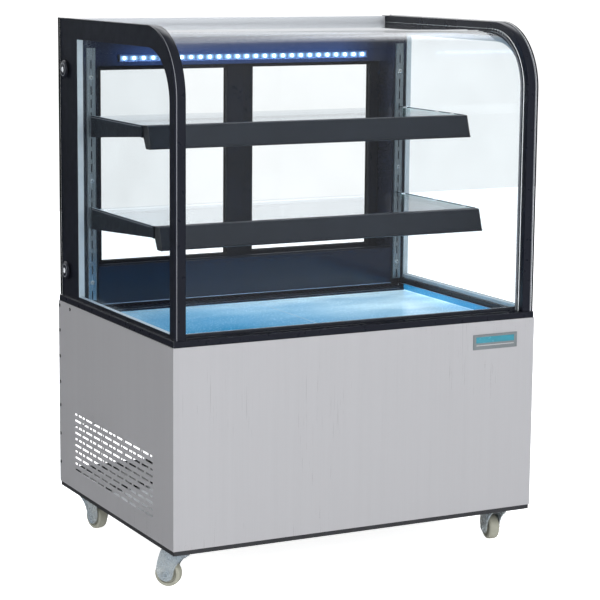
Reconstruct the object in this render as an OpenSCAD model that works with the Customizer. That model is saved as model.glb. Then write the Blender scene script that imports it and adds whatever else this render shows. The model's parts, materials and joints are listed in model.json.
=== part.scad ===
// Refrigerated curved-glass display showcase on four swivel castors.
// Millimetres, +Z up. Origin: centre of the footprint, on the floor.
// The customer's side (curved glass) faces -Y, the service side (sliding
// doors) faces +Y, and left / right are as seen from the customer's side.

/* [Overall] */
// Overall width over the side panels
body_w = 910; // [860:10:960]
// Overall depth over badge and rear controls
body_d = 675; // [655:5:695]
// Overall height, floor to the top of the side glass
body_h = 1215; // [1180:5:1260]
// Height of the steel cabinet's top edge
cab_top = 544; // [520:2:560]

/* [Cabinet] */
// Thickness of the stainless sheet
sheet = 1.2; // [0.8:0.1:1.5]
// Underside of the base frame
base_z = 91; // [88:1:95]
// Lower edge of the steel panels
skirt_z = 101.5; // [100:0.5:106]
// Underside of the insulated well
well_z = 395; // [385:5:405]

/* [Glass case] */
// Width of the black rim at the end of each side unit
trim_w = 20; // [16:1:22]
// Depth of that rim, measured in the plane of the side glass
trim_t = 32; // [26:1:38]
// Outer radius of the curve at the top front
curve_r = 150; // [120:5:180]
// How far the curved glass sits behind the rim's outer edge
glass_back = 17; // [10:1:22]
// Thickness of the curved glass
front_glass_t = 6; // [5:0.5:8]

/* [Shelves] */
// Top of the upper shelf
shelf_hi = 992; // [960:2:1010]
// Top of the lower shelf
shelf_lo = 777; // [750:2:800]
// Front edge of the upper shelf (distance in front of the centre)
shelf_hi_y = 100; // [90:2:130]
// Front edge of the lower shelf
shelf_lo_y = 161; // [140:2:190]

/* [Castors] */
// Wheel diameter
wheel_d = 58; // [54:1:60]
// Wheel tread width
wheel_w = 24; // [20:1:26]
// Distance of the wheel axle behind the swivel axis
trail = 30; // [24:1:32]

/* [Side vents] */
// Number of slot rows
vent_rows = 10; // [6:1:10]
// Row spacing
vent_dz = 14.9; // [13:0.1:15]
// Slot spacing along a row
vent_dy = 47; // [44:1:48]

/* [Hidden] */

px = body_w / 2 - 1;          // outer face of the side panels
pf = body_d / 2 - 1;          // outer face of front and rear panels
gx = body_w / 2 - 5;          // outer face of the side glass
gf = body_d / 2 - 3.5;        // front edge of the side glass
gr = body_d / 2 - 2.5;        // rear edge of the side glass
rim_z = cab_top + 14;         // top of the glass base frame
trim_x0 = gx - 27;            // inner face of the rims
cl = 0.3;                     // clearance between parts that only meet
kx = 405; ky = 270;           // swivel axes of the castors
wr = wheel_d / 2;
post_f = 228;                 // front face of the rear posts
post_x = 396;                 // inner face of the rear posts
door_y1 = 283; door_y2 = 305; // planes of the two sliding doors
// [x side, y side, heading of the trail in degrees]
castors = [[-1, -1, 136], [1, -1, 80], [-1, 1, 284], [1, 1, 205]];

module box(a, b) { translate(a) cube([b[0] - a[0], b[1] - a[1], b[2] - a[2]]); }
// a 2-D (y, z) outline extruded along X from x0 to x1
module along_x(x0, x1) {
  translate([x0, 0, 0]) rotate([90, 0, 90]) linear_extrude(x1 - x0) children();
}
module cyl_x(x0, x1, y, z, r) { translate([x0, y, z]) rotate([0, 90, 0]) cylinder(h = x1 - x0, r = r, $fn = 48); }
module cyl_y(y0, y1, x, z, r) { translate([x, y0, z]) rotate([-90, 0, 0]) cylinder(h = y1 - y0, r = r, $fn = 48); }
module cyl_z(z0, z1, x, y, r) { translate([x, y, z0]) cylinder(h = z1 - z0, r = r, $fn = 48); }
module hex_z(z0, z1, x, y, r) { translate([x, y, z0]) cylinder(h = z1 - z0, r = r, $fn = 6); }

// ---------------------------------------------------------------- base
module base_frame() color([0.09, 0.09, 0.10]) difference() {
  fx = px - 2; fy = pf - 2; t = 30; h = 25;
  union() for (s = [-1, 1]) {
    // long rails, front and rear
    translate([-fx, s > 0 ? fy - t : -fy, base_z]) cube([2 * fx, t, h]);
    // end rails between them
    translate([s > 0 ? fx - t : -fx, -fy + t, base_z]) cube([t, 2 * fy - 2 * t, h]);
    // cross rails under the machine floor
    translate([s * 150 - 15, -fy + t, base_z]) cube([30, 2 * fy - 2 * t, h]);
    // corner gussets that carry the castors
    for (u = [-1, 1]) translate([s > 0 ? 365 : -(fx - t), u > 0 ? 225 : -(fy - t), base_z]) cube([fx - t - 365, fy - t - 225, 6]);
  }
  // bolt holes for the castor plates
  for (c = castors, i = [-1, 1], j = [-1, 1]) cyl_z(base_z - 1, base_z + 16, c[0] * kx + i * 24, c[1] * ky + j * 24, 4.3);
}

module base_plate() color([0.66, 0.68, 0.70]) difference() {
  box([-447, -330, base_z + 25], [447, 330, base_z + 26.5]);
  // drain holes near the pan
  for (x = [-430, 430], y = [-312, 312]) cyl_z(base_z + 20, base_z + 30, x, y, 5);
}

module corner_posts() color([0.10, 0.10, 0.11])
  for (sx = [-1, 1], sy = [-1, 1]) scale([sx, 1, 1]) scale([1, sy, 1]) {
    along = base_z + 26.5;
    difference() {
      box([424, 304, along], [448, 328, well_z]);
      box([423, 303, along - 1], [445.5, 325.5, well_z + 1]);
    }
  }

// ------------------------------------------------------------- castors
// Every castor piece is drawn with the swivel axis on Z and the wheel
// trailing along +X, then turned to its heading.
module at_castor(i) { c = castors[i]; translate([c[0] * kx, c[1] * ky, 0]) rotate([0, 0, c[2]]) children(); }

module castor_plates() color([0.72, 0.73, 0.74]) for (c = castors)
  translate([c[0] * kx, c[1] * ky, 0]) difference() {
    union() {
      translate([-33, -33, base_z - 2.5]) cube([66, 66, 2.5]);
      cyl_z(84.4, base_z - 2.5, 0, 0, 22);
      cyl_z(76, 85, 0, 0, 6);
      cyl_z(75.4, 79.1, 0, 0, 10);
    }
    for (i = [-1, 1], j = [-1, 1]) cyl_z(base_z - 4, base_z + 1, i * 24, j * 24, 4.3);
  }

module castor_bolts() color([0.75, 0.76, 0.78]) for (c = castors, i = [-1, 1], j = [-1, 1]) {
  x = c[0] * kx + i * 24; y = c[1] * ky + j * 24;
  cyl_z(base_z - 3, base_z + 13, x, y, 4);
  hex_z(base_z - 6.4, base_z - 2.5, x, y, 6.6);
}

// the side cheek of the fork, in the plane of the wheel
module fork_cheek() polygon([[-24, 84], [42, 84], [46.5, 72], [50.5, 58], [53, 44], [53, 34],
  [50, 25], [45, 18.5], [38, 14.5], [30, 13], [22.5, 15], [17.5, 20], [14.5, 28], [12.5, 38],
  [8, 49], [0, 60], [-12, 70], [-24, 77]]);
module castor_fork(i) color([0.70, 0.72, 0.74]) at_castor(i) difference() {
  union() {
    for (s = [-1, 1]) translate([0, s > 0 ? 17 : -14.5, 0]) rotate([90, 0, 0]) linear_extrude(2.5) fork_cheek();
    box([-24, -17, 79.5], [42, 17, 84]);
  }
  cyl_z(70, 90, 0, 0, 6.05);
  cyl_y(-20, 20, trail, wr, 4.2);
}
module castor_fork_fl() castor_fork(0);
module castor_fork_fr() castor_fork(1);
module castor_fork_rl() castor_fork(2);
module castor_fork_rr() castor_fork(3);

module castor_axle(i) color([0.78, 0.79, 0.80]) at_castor(i) {
  cyl_y(-21, 21, trail, wr, 4);
  translate([trail, -17, wr]) rotate([90, 0, 0]) cylinder(h = 5, r = 7, $fn = 6);
  translate([trail, 17, wr]) rotate([-90, 0, 0]) difference() { cylinder(h = 6, r = 7, $fn = 6); translate([0, 0, -1]) cylinder(h = 8, r = 3.9, $fn = 32); }
}
module castor_axle_fl() castor_axle(0);
module castor_axle_fr() castor_axle(1);
module castor_axle_rl() castor_axle(2);
module castor_axle_rr() castor_axle(3);

module castor_wheel(i) color([0.80, 0.79, 0.72]) at_castor(i)
  translate([trail, 0, wr]) rotate([90, 0, 0]) rotate_extrude($fn = 72)
    polygon([[4.05, -13.8], [9, -13.8], [9, -9], [wr - 9, -9], [wr - 7.5, -wheel_w / 2], [wr - 3.5, -wheel_w / 2],
      [wr - 1.2, -wheel_w / 2 + 2], [wr - 0.3, -wheel_w / 2 + 5], [wr, -3], [wr, 3], [wr - 0.3, wheel_w / 2 - 5],
      [wr - 1.2, wheel_w / 2 - 2], [wr - 3.5, wheel_w / 2], [wr - 7.5, wheel_w / 2], [wr - 9, 9], [9, 9], [9, 13.8], [4.05, 13.8]]);
module castor_wheel_fl() castor_wheel(0);
module castor_wheel_fr() castor_wheel(1);
module castor_wheel_rl() castor_wheel(2);
module castor_wheel_rr() castor_wheel(3);

// -------------------------------------------------------------- panels
module front_panel() color([0.76, 0.75, 0.76]) {
  box([-px, -pf, skirt_z], [px, -pf + sheet, cab_top]);
  // hemmed returns at the top and both ends
  box([-px + 20, -pf + sheet, cab_top - sheet], [px - 20, -pf + 20, cab_top]);
  for (s = [-1, 1]) scale([s, 1, 1]) box([px - 2.7, -pf + sheet, base_z + 25.5], [px - 1.5, -pf + 20, cab_top - 3]);
}

// vent slots on a staggered grid; full rows and rows with half slots at the ends
module vents() {
  y0 = -226; n = 10; l = vent_dy - 8;
  for (r = [0:vent_rows - 1]) {
    z = 286 - r * vent_dz - 2.5;
    if (r % 2 == 1) for (k = [0:n - 1]) translate([-px - 3, y0 + k * vent_dy, z]) cube([8, l, 5]);
    else {
      for (k = [0:n - 2]) translate([-px - 3, y0 + (k + 0.5) * vent_dy, z]) cube([8, l, 5]);
      translate([-px - 3, y0, z]) cube([8, l - vent_dy / 2, 5]);
      translate([-px - 3, y0 + (n - 0.5) * vent_dy, z]) cube([8, l - vent_dy / 2, 5]);
    }
  }
}
module side_panel() color([0.60, 0.61, 0.63]) {
  difference() {
    box([-px, -pf + sheet + 0.1, skirt_z], [-px + sheet, pf - sheet - 0.1, cab_top]);
    vents();
    // screw holes along the rear edge
    for (z = [150, 220, 290, 347, 410, 473, 533]) cyl_x(-px - 2, -px + 3, 329, z, 2.2);
    cyl_x(-px - 2, -px + 3, 262, 533, 2.2);
  }
  box([-px + sheet, -pf + 24, cab_top - sheet], [-px + 20, pf - 24, cab_top]);
}
module side_panel_left() side_panel();
module side_panel_right() scale([-1, 1, 1]) side_panel();

module rear_panel() color([0.70, 0.71, 0.73]) {
  difference() {
    box([-px, pf - sheet, skirt_z], [px, pf, cab_top]);
    box([-430, pf - 5, 131], [430, pf + 5, 335]);
    // controller and rocker cut-outs, inlet gland hole, screw holes
    box([-300.5, pf - 5, 351.5], [-223.5, pf + 5, 380.5]);
    box([-192.2, pf - 5, 352.8], [-171.8, pf + 5, 379.2]);
    cyl_y(pf - 5, pf + 5, 380, 366, 8.2);
    for (x = [-440, -110, 110, 440], z = [345, 530]) cyl_y(pf - 5, pf + 5, x, z, 2.2);
  }
  for (s = [-1, 1]) scale([s, 1, 1]) difference() {
    box([px - 2.7, pf - 22, base_z + 25.5], [px - 1.5, pf - sheet, cab_top - 3]);
    for (z = [150, 220, 290, 347, 410, 473, 533]) cyl_x(px - 5, px + 5, 329, z, 2.2);
  }
}

// open wire guard over the machine compartment
module rear_grille() color([0.15, 0.15, 0.16]) {
  y = pf - sheet - 2.2;
  for (x = [-424:26.5:424]) cyl_z(127, 339, x, y, 1.1);
  for (z = [130, 233, 336]) cyl_x(-432, 432, y - 2, z, 1.5);
}

// pan-head screws: side panels, then rear panel
module panel_screws() color([0.08, 0.08, 0.09]) {
  for (s = [-1, 1]) scale([s, 1, 1]) {
    for (z = [150, 220, 290, 347, 410, 473, 533]) screw_x(329, z, 5.5);
    screw_x(262, 533, 3);
  }
  for (x = [-440, -110, 110, 440], z = [345, 530]) {
    cyl_y(pf - 7, pf + 0.1, x, z, 2);
    cyl_y(pf, pf + 1, x, z, 4);
  }
}
module screw_x(y, z, l) { cyl_x(px - l, px + 0.1, y, z, 2); cyl_x(px, px + 1, y, z, 4); }

// blank two-tone badge, no lettering
module badge_plate() color([0.45, 0.47, 0.49]) box([289, -pf - 1, 480], [407, -pf, 515]);

// ------------------------------------------------- refrigerated well
module insulated_well() color([0.88, 0.89, 0.90]) difference() {
  box([-450.5, -pf + 22, well_z], [450.5, pf - 23, cab_top - sheet - 0.1]);
  // cold chamber, and the wider mouth above it that carries the deck
  box([-404, -288, well_z + 28], [404, 228, 560]);
  box([-425, -306, 526], [425, 229, 560]);
  // melt-water drain
  cyl_z(well_z - 5, well_z + 40, 250, 190, 8);
  // passages for the liquid and suction lines
  cyl_z(well_z - 5, well_z + 40, 372, 108, 5);
  cyl_z(well_z - 5, well_z + 40, 360, 140, 7);
}

module deck_tray() color([0.80, 0.90, 0.96]) {
  z = 530; y0 = -305; y1 = 200; x = 424; h = 546;
  box([-x + 3, y0 + 1, z - sheet], [x - 3, y1, z]);
  for (s = [-1, 1]) scale([s, 1, 1]) {
    box([x - 3, y0 + 1, z - sheet], [x - 3 + sheet, y1, h]);
    // deck rail that rests on the well's ledge
    box([x - 9, y0 + 10, 526], [x - 6, y1 - 10, z - sheet]);
  }
  box([-x + 3, y0, z - sheet], [x - 3, y0 + sheet, h]);
  box([-x + 3, y1 - sheet, z], [x - 3, y1, z + 5]);
}

// glossy duct cover below the doors, with its bright lower hem
module air_riser() color([0.07, 0.08, 0.11]) {
  box([-post_x + cl, 226, 548], [post_x - cl, 227.5, 636]);
  box([-post_x + cl, 227.5, 634.5], [post_x - cl, 263.7, 636]);
  box([-post_x + cl, 221, 546.5], [post_x - cl, 227.5, 548]);
}

// ---------------------------------------------------- machine compartment
floor_z = base_z + 26.5;
cmp_x = 120; cmp_y = -110;
module compressor() color([0.06, 0.06, 0.07]) {
  translate([cmp_x, cmp_y, 0]) {
    rotate_extrude($fn = 72) polygon([[0, 136], [62, 136], [72, 142], [76, 152], [76, 205], [79, 205], [79, 212],
      [76, 212], [75, 236], [70, 256], [60, 271], [46, 282], [26, 288], [0, 290]]);
    difference() {
      box([-92, -62, 132], [92, 62, 136]);
      for (i = [-1, 1], j = [-1, 1]) cyl_z(130, 140, i * 78, j * 50, 7);
    }
    // terminal cover
    box([70, -26, 178], [98, 26, 232]);
  }
}
module compressor_grommets() color([0.12, 0.12, 0.12]) for (i = [-1, 1], j = [-1, 1])
  translate([cmp_x + i * 78, cmp_y + j * 50, 0]) difference() {
    union() { cyl_z(floor_z, 131.8, 0, 0, 13); cyl_z(131.8, 136.2, 0, 0, 6.7); cyl_z(136.2, 141, 0, 0, 12); }
    cyl_z(floor_z - 1, 145, 0, 0, 4);
  }

cx0 = 340; // inner face of the condenser block
module condenser_coil() color([0.55, 0.57, 0.58]) {
  // end plates
  for (y = [-141.5, 140]) box([cx0, y, floor_z], [cx0 + 44, y + 1.5, 372]);
  // fin packs between the tube rows
  for (k = [0:7]) box([cx0 + 2, -139.7, 126 + k * 30], [cx0 + 42, 139.7, 148 + k * 30]);
  // serpentine tube rows and their return bends
  for (k = [0:6]) for (x = [cx0 + 12, cx0 + 32]) cyl_y(-152, 152, x, 152 + k * 30, 3.6);
}
module condenser_shroud() color([0.14, 0.14, 0.15]) difference() {
  box([cx0 - 34, -142, floor_z], [cx0 - 0.3, 142, 372]);
  box([cx0 - 32.5, -138, floor_z + 4], [cx0 + 5, 138, 368]);
  cyl_x(cx0 - 40, cx0 - 20, 0, 245, 112);
}
module condenser_fan_motor() color([0.20, 0.20, 0.21]) {
  cyl_x(cx0 - 100, cx0 - 58, 0, 245, 32);
  cyl_x(cx0 - 58, cx0 - 14, 0, 245, 3);
  // cross arms fixed to the shroud's face
  for (a = [0, 90]) translate([0, 0, 245]) rotate([a, 0, 0]) {
    difference() {
      box([cx0 - 62, -122, -6], [cx0 - 59, 122, 6]);
      cyl_x(cx0 - 70, cx0 - 50, 0, 0, 31);
    }
    for (s = [-1, 1]) box([cx0 - 59, s * 118 - 4, -6], [cx0 - 34.2, s * 118 + 4, 6]);
  }
}
module condenser_fan_blade() color([0.75, 0.76, 0.78]) translate([cx0 - 24, 0, 245]) rotate([0, 90, 0]) {
  difference() { translate([0, 0, -9]) cylinder(h = 18, r = 20, $fn = 48); translate([0, 0, -12]) cylinder(h = 24, r = 3.05, $fn = 48); }
  for (a = [0:72:359]) rotate([0, 0, a]) translate([18, 0, 0]) rotate([24, 0, 0]) translate([0, -19, -0.8]) cube([84, 38, 1.6]);
}

// copper lines: straight runs joined by slightly larger brazed elbows
module run(p, q, r) {
  x0 = min(p[0], q[0]); x1 = max(p[0], q[0]);
  y0 = min(p[1], q[1]); y1 = max(p[1], q[1]);
  z0 = min(p[2], q[2]); z1 = max(p[2], q[2]);
  if (x1 > x0) cyl_x(x0, x1, y0, z0, r);
  else if (y1 > y0) cyl_y(y0, y1, x0, z0, r);
  else cyl_z(z0, z1, x0, y0, r);
}
module line(pts, r) {
  for (i = [0:len(pts) - 2]) run(pts[i], pts[i + 1], r);
  for (i = [1:len(pts) - 2]) translate(pts[i]) sphere(r = r * 1.35, $fn = 32);
}
module refrigerant_pipes() color([0.72, 0.42, 0.28]) {
  // discharge: compressor to condenser
  line([[120, -33, 200], [120, 165, 200], [352, 165, 200], [352, 165, 332], [352, 152.5, 332]], 3);
  // liquid line with its filter drier, up into the well
  line([[372, -152.5, 152], [372, -170, 152], [372, -170, 384], [372, 108, 384], [372, 108, 454], [344.5, 108, 454]], 3);
  cyl_z(220, 300, 372, -170, 10);
  // suction line back to the compressor
  line([[344.5, 140, 484], [360, 140, 484], [360, 140, 387], [30, 140, 387], [30, -110, 387], [30, -110, 220], [40.5, -110, 220]], 5);
}

module condensate_pan() color([0.05, 0.05, 0.06]) difference() {
  box([-438, 138, floor_z], [-150, 322, floor_z + 11]);
  box([-436, 140, floor_z + 1.5], [-152, 320, floor_z + 20]);
}
module electrical_box() color([0.35, 0.36, 0.38]) {
  box([230, 190, floor_z], [330, 300, 230]);
  box([228, 188, 230.3], [332, 302, 236]);
}

// evaporator, under the deck
module evaporator_coil() color([0.62, 0.66, 0.70]) {
  for (x = [-331.5, 330]) box([x, 88, 424], [x + 1.5, 160, 516]);
  for (k = [0:2]) box([-329.7, 90, 428 + k * 30], [329.7, 158, 450 + k * 30]);
  for (k = [0:1]) for (y = [108, 140]) cyl_x(-344, 344, y, 454 + k * 30, 3.6);
}
module evaporator_fan_motor() color([0.16, 0.16, 0.17]) {
  // baffle with the fan opening, and the motor on its tripod
  difference() {
    box([-400, 60, 423.2], [400, 61.5, 520]);
    cyl_y(55, 65, 0, 472, 42);
  }
  cyl_y(20, 44, 0, 472, 20);
  cyl_y(44, 66, 0, 472, 2);
  for (a = [90, 210, 330]) translate([0, 0, 472]) rotate([0, a, 0]) {
    box([18, 30, -3], [48, 33, 3]);
    box([44, 33, -3], [48, 60, 3]);
  }
}
module evaporator_fan_blade() color([0.85, 0.86, 0.88]) translate([0, 56, 472]) rotate([-90, 0, 0]) {
  difference() { translate([0, 0, -6]) cylinder(h = 12, r = 11, $fn = 40); translate([0, 0, -9]) cylinder(h = 18, r = 2.05, $fn = 40); }
  for (a = [0:72:359]) rotate([0, 0, a]) translate([9.5, 0, 0]) rotate([26, 0, 0]) translate([0, -8, -0.6]) cube([27, 16, 1.2]);
}

// ---------------------------------------------------------- glass case
module glass_base_frame() color([0.05, 0.05, 0.07]) {
  ox = gx + 2; f = gf + 1.5; r = gr + 1;
  // front, rear and end members of the black rim the glass stands on
  box([-ox, -f, cab_top], [ox, -307, rim_z]);
  box([-ox, 230, cab_top], [ox, r, rim_z]);
  for (s = [-1, 1]) scale([s, 1, 1]) box([425.3, -307, cab_top], [ox, 230, rim_z]);
}

// J-shaped side outline in (y, z), drawn inwards by d
module j_outline(d) {
  r = curve_r - d; cy = -gf + curve_r; cz = body_h - curve_r;
  difference() {
    translate([-gf + d, rim_z]) square([gf + gr - d, body_h - rim_z - d]);
    difference() {
      translate([-gf + d - 1, cz]) square([r + 1, r + 1]);
      translate([cy, cz]) circle(r = r, $fn = 96);
    }
  }
}
module side_glass() color([0.80, 0.90, 0.95, 0.3]) {
  // outer pane, the full outline
  along_x(-gx, -gx + 4.5) j_outline(0);
  // inner pane, inside the rim
  along_x(-gx + 18, -gx + 22) intersection() {
    j_outline(trim_t + 1);
    translate([-400, rim_z]) square([627, 700]);
  }
}
module side_glass_left() side_glass();
module side_glass_right() scale([-1, 1, 1]) side_glass();

module front_glass() color([0.85, 0.93, 0.96, 0.3])
  along_x(-trim_x0 + cl, trim_x0 - cl) difference() {
    j_outline(glass_back);
    // leave one sheet: vertical front, curve, flat top
    difference() {
      j_outline(glass_back + front_glass_t);
      translate([-500, rim_z - 10]) square([1, 1]);
    }
    translate([gr - 18, 500]) square([60, 800]);
  }

module edge_trims() color([0.06, 0.06, 0.08]) for (s = [-1, 1]) scale([s, 1, 1])
  along_x(trim_x0, trim_x0 + trim_w) difference() { j_outline(1); j_outline(trim_t); }

// rear frame: two posts, top beam, sill; separate extrusions
module rear_frame() color([0.07, 0.08, 0.10]) {
  e = gr - 1;
  for (s = [-1, 1]) scale([s, 1, 1]) {
    box([post_x, post_f, rim_z], [trim_x0 - 0.4, e, 1180]);
    box([trim_x0 - 0.4, post_f, rim_z], [gx - 5, e, 1180]);
  }
  x = post_x - 0.2;
  box([-x, 255, 1134.1], [x, e, 1180]);
  box([-x, 255, 1104], [x, 273, 1134]);
  box([-x, 264, rim_z], [x, e, 600]);
  // light rail along the top rear edge
  box([-trim_x0 + cl, gr - 17.5, 1192], [trim_x0 - cl, e, 1212]);
  box([-trim_x0 + cl, gr - 60, 1180.2], [trim_x0 - cl, gr - 18, 1191.5]);
}

// twin-groove sliding tracks, top and bottom
module door_tracks() color([0.30, 0.32, 0.35]) {
  x = post_x - cl;
  difference() {
    box([-x, 266, 600], [x, 322, 612]);
    for (y = [door_y1, door_y2]) box([-x - 1, y - 5.5, 603], [x + 1, y + 5.5, 613]);
  }
  difference() {
    box([-x, 273.5, 1112], [x, 322, 1134]);
    for (y = [door_y1, door_y2]) box([-x - 1, y - 5.5, 1111], [x + 1, y + 5.5, 1131]);
  }
}

// sliding door: four bars round a pane; s = -1 left door, +1 right door
module door_frame(s, y) color([0.06, 0.07, 0.09]) scale([s, 1, 1]) {
  z0 = 613.5; z1 = 1110; xo = post_x - 1.5; xi = -6; t = 8;
  // meeting stile and outer stile with its recessed grip
  box([xi, y - t, z0], [xi + 44, y + t, z1]);
  difference() {
    box([xo - 24, y - t, z0], [xo, y + t, z1]);
    box([xo - 19, y + t - 11, 800], [xo - 5, y + t + 1, 920]);
  }
  // rails, with the tongues that run in the tracks
  for (z = [z0, z1 - 13]) box([xi + 44, y - t, z], [xo - 24, y + t, z + 13 + (z == z0 ? 12 : 0)]);
  box([xi + 10, y - 5, 604], [xo - 6, y + 5, z0]);
  box([xi + 10, y - 5, z1], [xo - 6, y + 5, 1122]);
}
module door_left_frame() door_frame(-1, door_y1);
module door_right_frame() door_frame(1, door_y2);
module door_glass(s, y) color([0.85, 0.93, 0.96, 0.3]) scale([s, 1, 1]) box([38, y - 3, 638.5], [post_x - 25.5, y + 3, 1097]);
module door_left_glass() door_glass(-1, door_y1);
module door_right_glass() door_glass(1, door_y2);

// ------------------------------------------------------------- shelves
up_x = 412.5; // centre of the slotted uprights
slot_z0 = 560; slot_dz = 30;
module shelf_uprights() color([0.66, 0.70, 0.74]) for (s = [-1, 1]) scale([s, 1, 1]) difference() {
  box([up_x - 10.5, post_f - 6, rim_z], [up_x + 9.7, post_f, 1148]);
  box([up_x - 9, post_f - 4.5, rim_z - 1], [up_x + 8.2, post_f + 1, 1150]);
  for (k = [0:18]) if (k % 8 != 1) box([up_x - 1.5, post_f - 8, slot_z0 + k * slot_dz], [up_x + 1.5, post_f - 3, slot_z0 + k * slot_dz + 20]);
}

// pressed bracket with a ledge for the glass and two hooks in the upright
module bracket(top, depth_y) {
  x0 = up_x - 1.2; zt = top + 1; yf = -depth_y + 24;
  difference() {
    along_x(x0, x0 + 2.4) polygon([[post_f - 6.3, zt], [post_f - 6.3, top - 50], [yf, top - 25], [yf, zt]]);
  }
  along_x(x0 - 14, x0) polygon([[post_f - 14, top - 8.6], [post_f - 14, top - 6.3], [yf, top - 6.3], [yf, top - 8.6]]);
}
// centre heights of the slots each bracket hooks into
function slot_at(k) = slot_z0 + k * slot_dz;
module shelf_brackets() color([0.12, 0.14, 0.17]) for (s = [-1, 1]) scale([s, 1, 1]) {
  bracket(shelf_hi, shelf_hi_y);
  bracket(shelf_lo, shelf_lo_y);
  for (t = [shelf_hi, shelf_lo]) for (k = [0:18]) if (slot_at(k) > t - 48 && slot_at(k) + 20 < t + 0.5)
    box([up_x - 1.2, post_f - 6.5, slot_at(k) + 4], [up_x + 1.2, post_f - 0.6, slot_at(k) + 16]);
}
module shelf_pane(top, depth_y) box([-up_x + 1.6, -depth_y + 23, top - 6], [up_x - 1.6, 205, top]);
module shelf_glass() color([0.85, 0.95, 0.95, 0.3]) {
  shelf_pane(shelf_hi, shelf_hi_y);
  shelf_pane(shelf_lo, shelf_lo_y);
}

// front profile: leaning face with a small lip, and a ledge under the glass
module shelf_profile(top, depth_y) along_x(-408, 408) translate([-depth_y, top])
  polygon([[0, 0], [3.5, 0.8], [22, 0.8], [22, -7.5], [23.6, -8.6], [23.6, -25], [10, -50], [-14, -50],
    [-17, -48.5], [-17, -46.5], [-14, -46]]);
module shelf_profiles() color([0.11, 0.13, 0.16]) {
  shelf_profile(shelf_hi, shelf_hi_y);
  shelf_profile(shelf_lo, shelf_lo_y);
}

module led_strip() color([0.80, 0.82, 0.84]) difference() {
  box([-332, 245, 1114], [332, 254.9, 1130]);
  box([-330, 243, 1116], [330, 249, 1128]);
}

// domed caps over the glass fixing bolts
module glass_fixing_caps() color([0.10, 0.10, 0.12]) for (s = [-1, 1], z = [622, 1096])
  translate([s * gx, 295, z]) rotate([0, s * 90, 0]) rotate_extrude($fn = 64)
    polygon([[0, 0], [21.5, 0], [21.5, 1.2], [20, 2.6], [16, 3.9], [10, 4.7], [4, 5], [0, 5]]);

// ------------------------------------------------------ rear controls
module temperature_controller() color([0.08, 0.08, 0.09]) {
  box([-300, pf - 55, 352], [-224, pf, 380]);
  box([-303, pf, 348.5], [-221, pf + 1, 383.5]);
}
rx = -182; rz = 366; // centre of the light switch
module rocker_housing() color([0.10, 0.10, 0.11]) difference() {
  union() {
    box([rx - 11.5, pf, rz - 15], [rx + 11.5, pf + 1, rz + 15]);
    box([rx - 10, pf - 18, rz - 13], [rx + 10, pf, rz + 13]);
  }
  box([rx - 7.4, pf - 16, rz - 10.8], [rx + 7.4, pf + 5, rz + 10.8]);
  cyl_x(rx - 9.3, rx + 9.3, pf - 6.5, rz, 1.25);
}
module light_rocker() color([0.16, 0.16, 0.17]) {
  along_x(rx - 7, rx + 7) translate([pf - 6.5, rz])
    polygon([[-4, -7], [3, -9.6], [5.2, -9.6], [4.2, -4.5], [3.9, 0], [4.2, 4.5], [5.2, 9.6], [3, 9.6], [-4, 7]]);
  cyl_x(rx - 9, rx + 9, pf - 6.5, rz, 1.2);
}
module cable_gland() color([0.07, 0.07, 0.08]) difference() {
  union() {
    cyl_y(pf - 20, pf + 0.9, 380, 366, 8);
    translate([380, pf - 7, 366]) rotate([-90, 0, 0]) cylinder(h = 5.6, r = 11.5, $fn = 6);
  }
  cyl_y(pf - 26, pf + 5, 380, 366, 4.2);
}

base_frame();
base_plate();
corner_posts();
castor_plates();
castor_bolts();
castor_fork_fl();
castor_fork_fr();
castor_fork_rl();
castor_fork_rr();
castor_axle_fl();
castor_axle_fr();
castor_axle_rl();
castor_axle_rr();
castor_wheel_fl();
castor_wheel_fr();
castor_wheel_rl();
castor_wheel_rr();
front_panel();
side_panel_left();
side_panel_right();
rear_panel();
rear_grille();
panel_screws();
badge_plate();
insulated_well();
deck_tray();
air_riser();
compressor();
compressor_grommets();
condenser_coil();
condenser_shroud();
condenser_fan_motor();
condenser_fan_blade();
refrigerant_pipes();
condensate_pan();
electrical_box();
evaporator_coil();
evaporator_fan_motor();
evaporator_fan_blade();
glass_base_frame();
side_glass_left();
side_glass_right();
front_glass();
edge_trims();
rear_frame();
door_tracks();
door_left_frame();
door_left_glass();
door_right_frame();
door_right_glass();
shelf_uprights();
shelf_brackets();
shelf_glass();
shelf_profiles();
led_strip();
glass_fixing_caps();
temperature_controller();
rocker_housing();
light_rocker();
cable_gland();
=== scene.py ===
# Looks for the refrigerated curved-glass display showcase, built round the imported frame.
import bpy, bmesh, json, math, random
from mathutils import Matrix, Vector


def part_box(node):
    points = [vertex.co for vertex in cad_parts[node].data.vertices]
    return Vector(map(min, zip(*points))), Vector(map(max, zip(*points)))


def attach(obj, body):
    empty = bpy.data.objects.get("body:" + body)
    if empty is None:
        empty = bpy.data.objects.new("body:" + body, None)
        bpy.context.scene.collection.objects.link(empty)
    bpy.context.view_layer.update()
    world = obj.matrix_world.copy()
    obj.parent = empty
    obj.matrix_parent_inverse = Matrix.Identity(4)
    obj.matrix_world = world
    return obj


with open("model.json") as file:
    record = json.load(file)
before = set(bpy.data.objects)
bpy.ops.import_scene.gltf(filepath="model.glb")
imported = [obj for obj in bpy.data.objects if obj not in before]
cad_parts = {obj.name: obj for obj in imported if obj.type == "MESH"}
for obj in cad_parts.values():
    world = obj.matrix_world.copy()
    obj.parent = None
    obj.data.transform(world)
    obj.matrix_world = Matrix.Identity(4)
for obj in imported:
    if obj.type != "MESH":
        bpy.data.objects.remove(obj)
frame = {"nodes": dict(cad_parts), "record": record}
NODES = frame["nodes"]
scene = bpy.context.scene
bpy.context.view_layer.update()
random.seed(7)
MM = 0.001


def bx(n):
    lo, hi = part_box(n)
    return lo * 1000, hi * 1000


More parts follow.
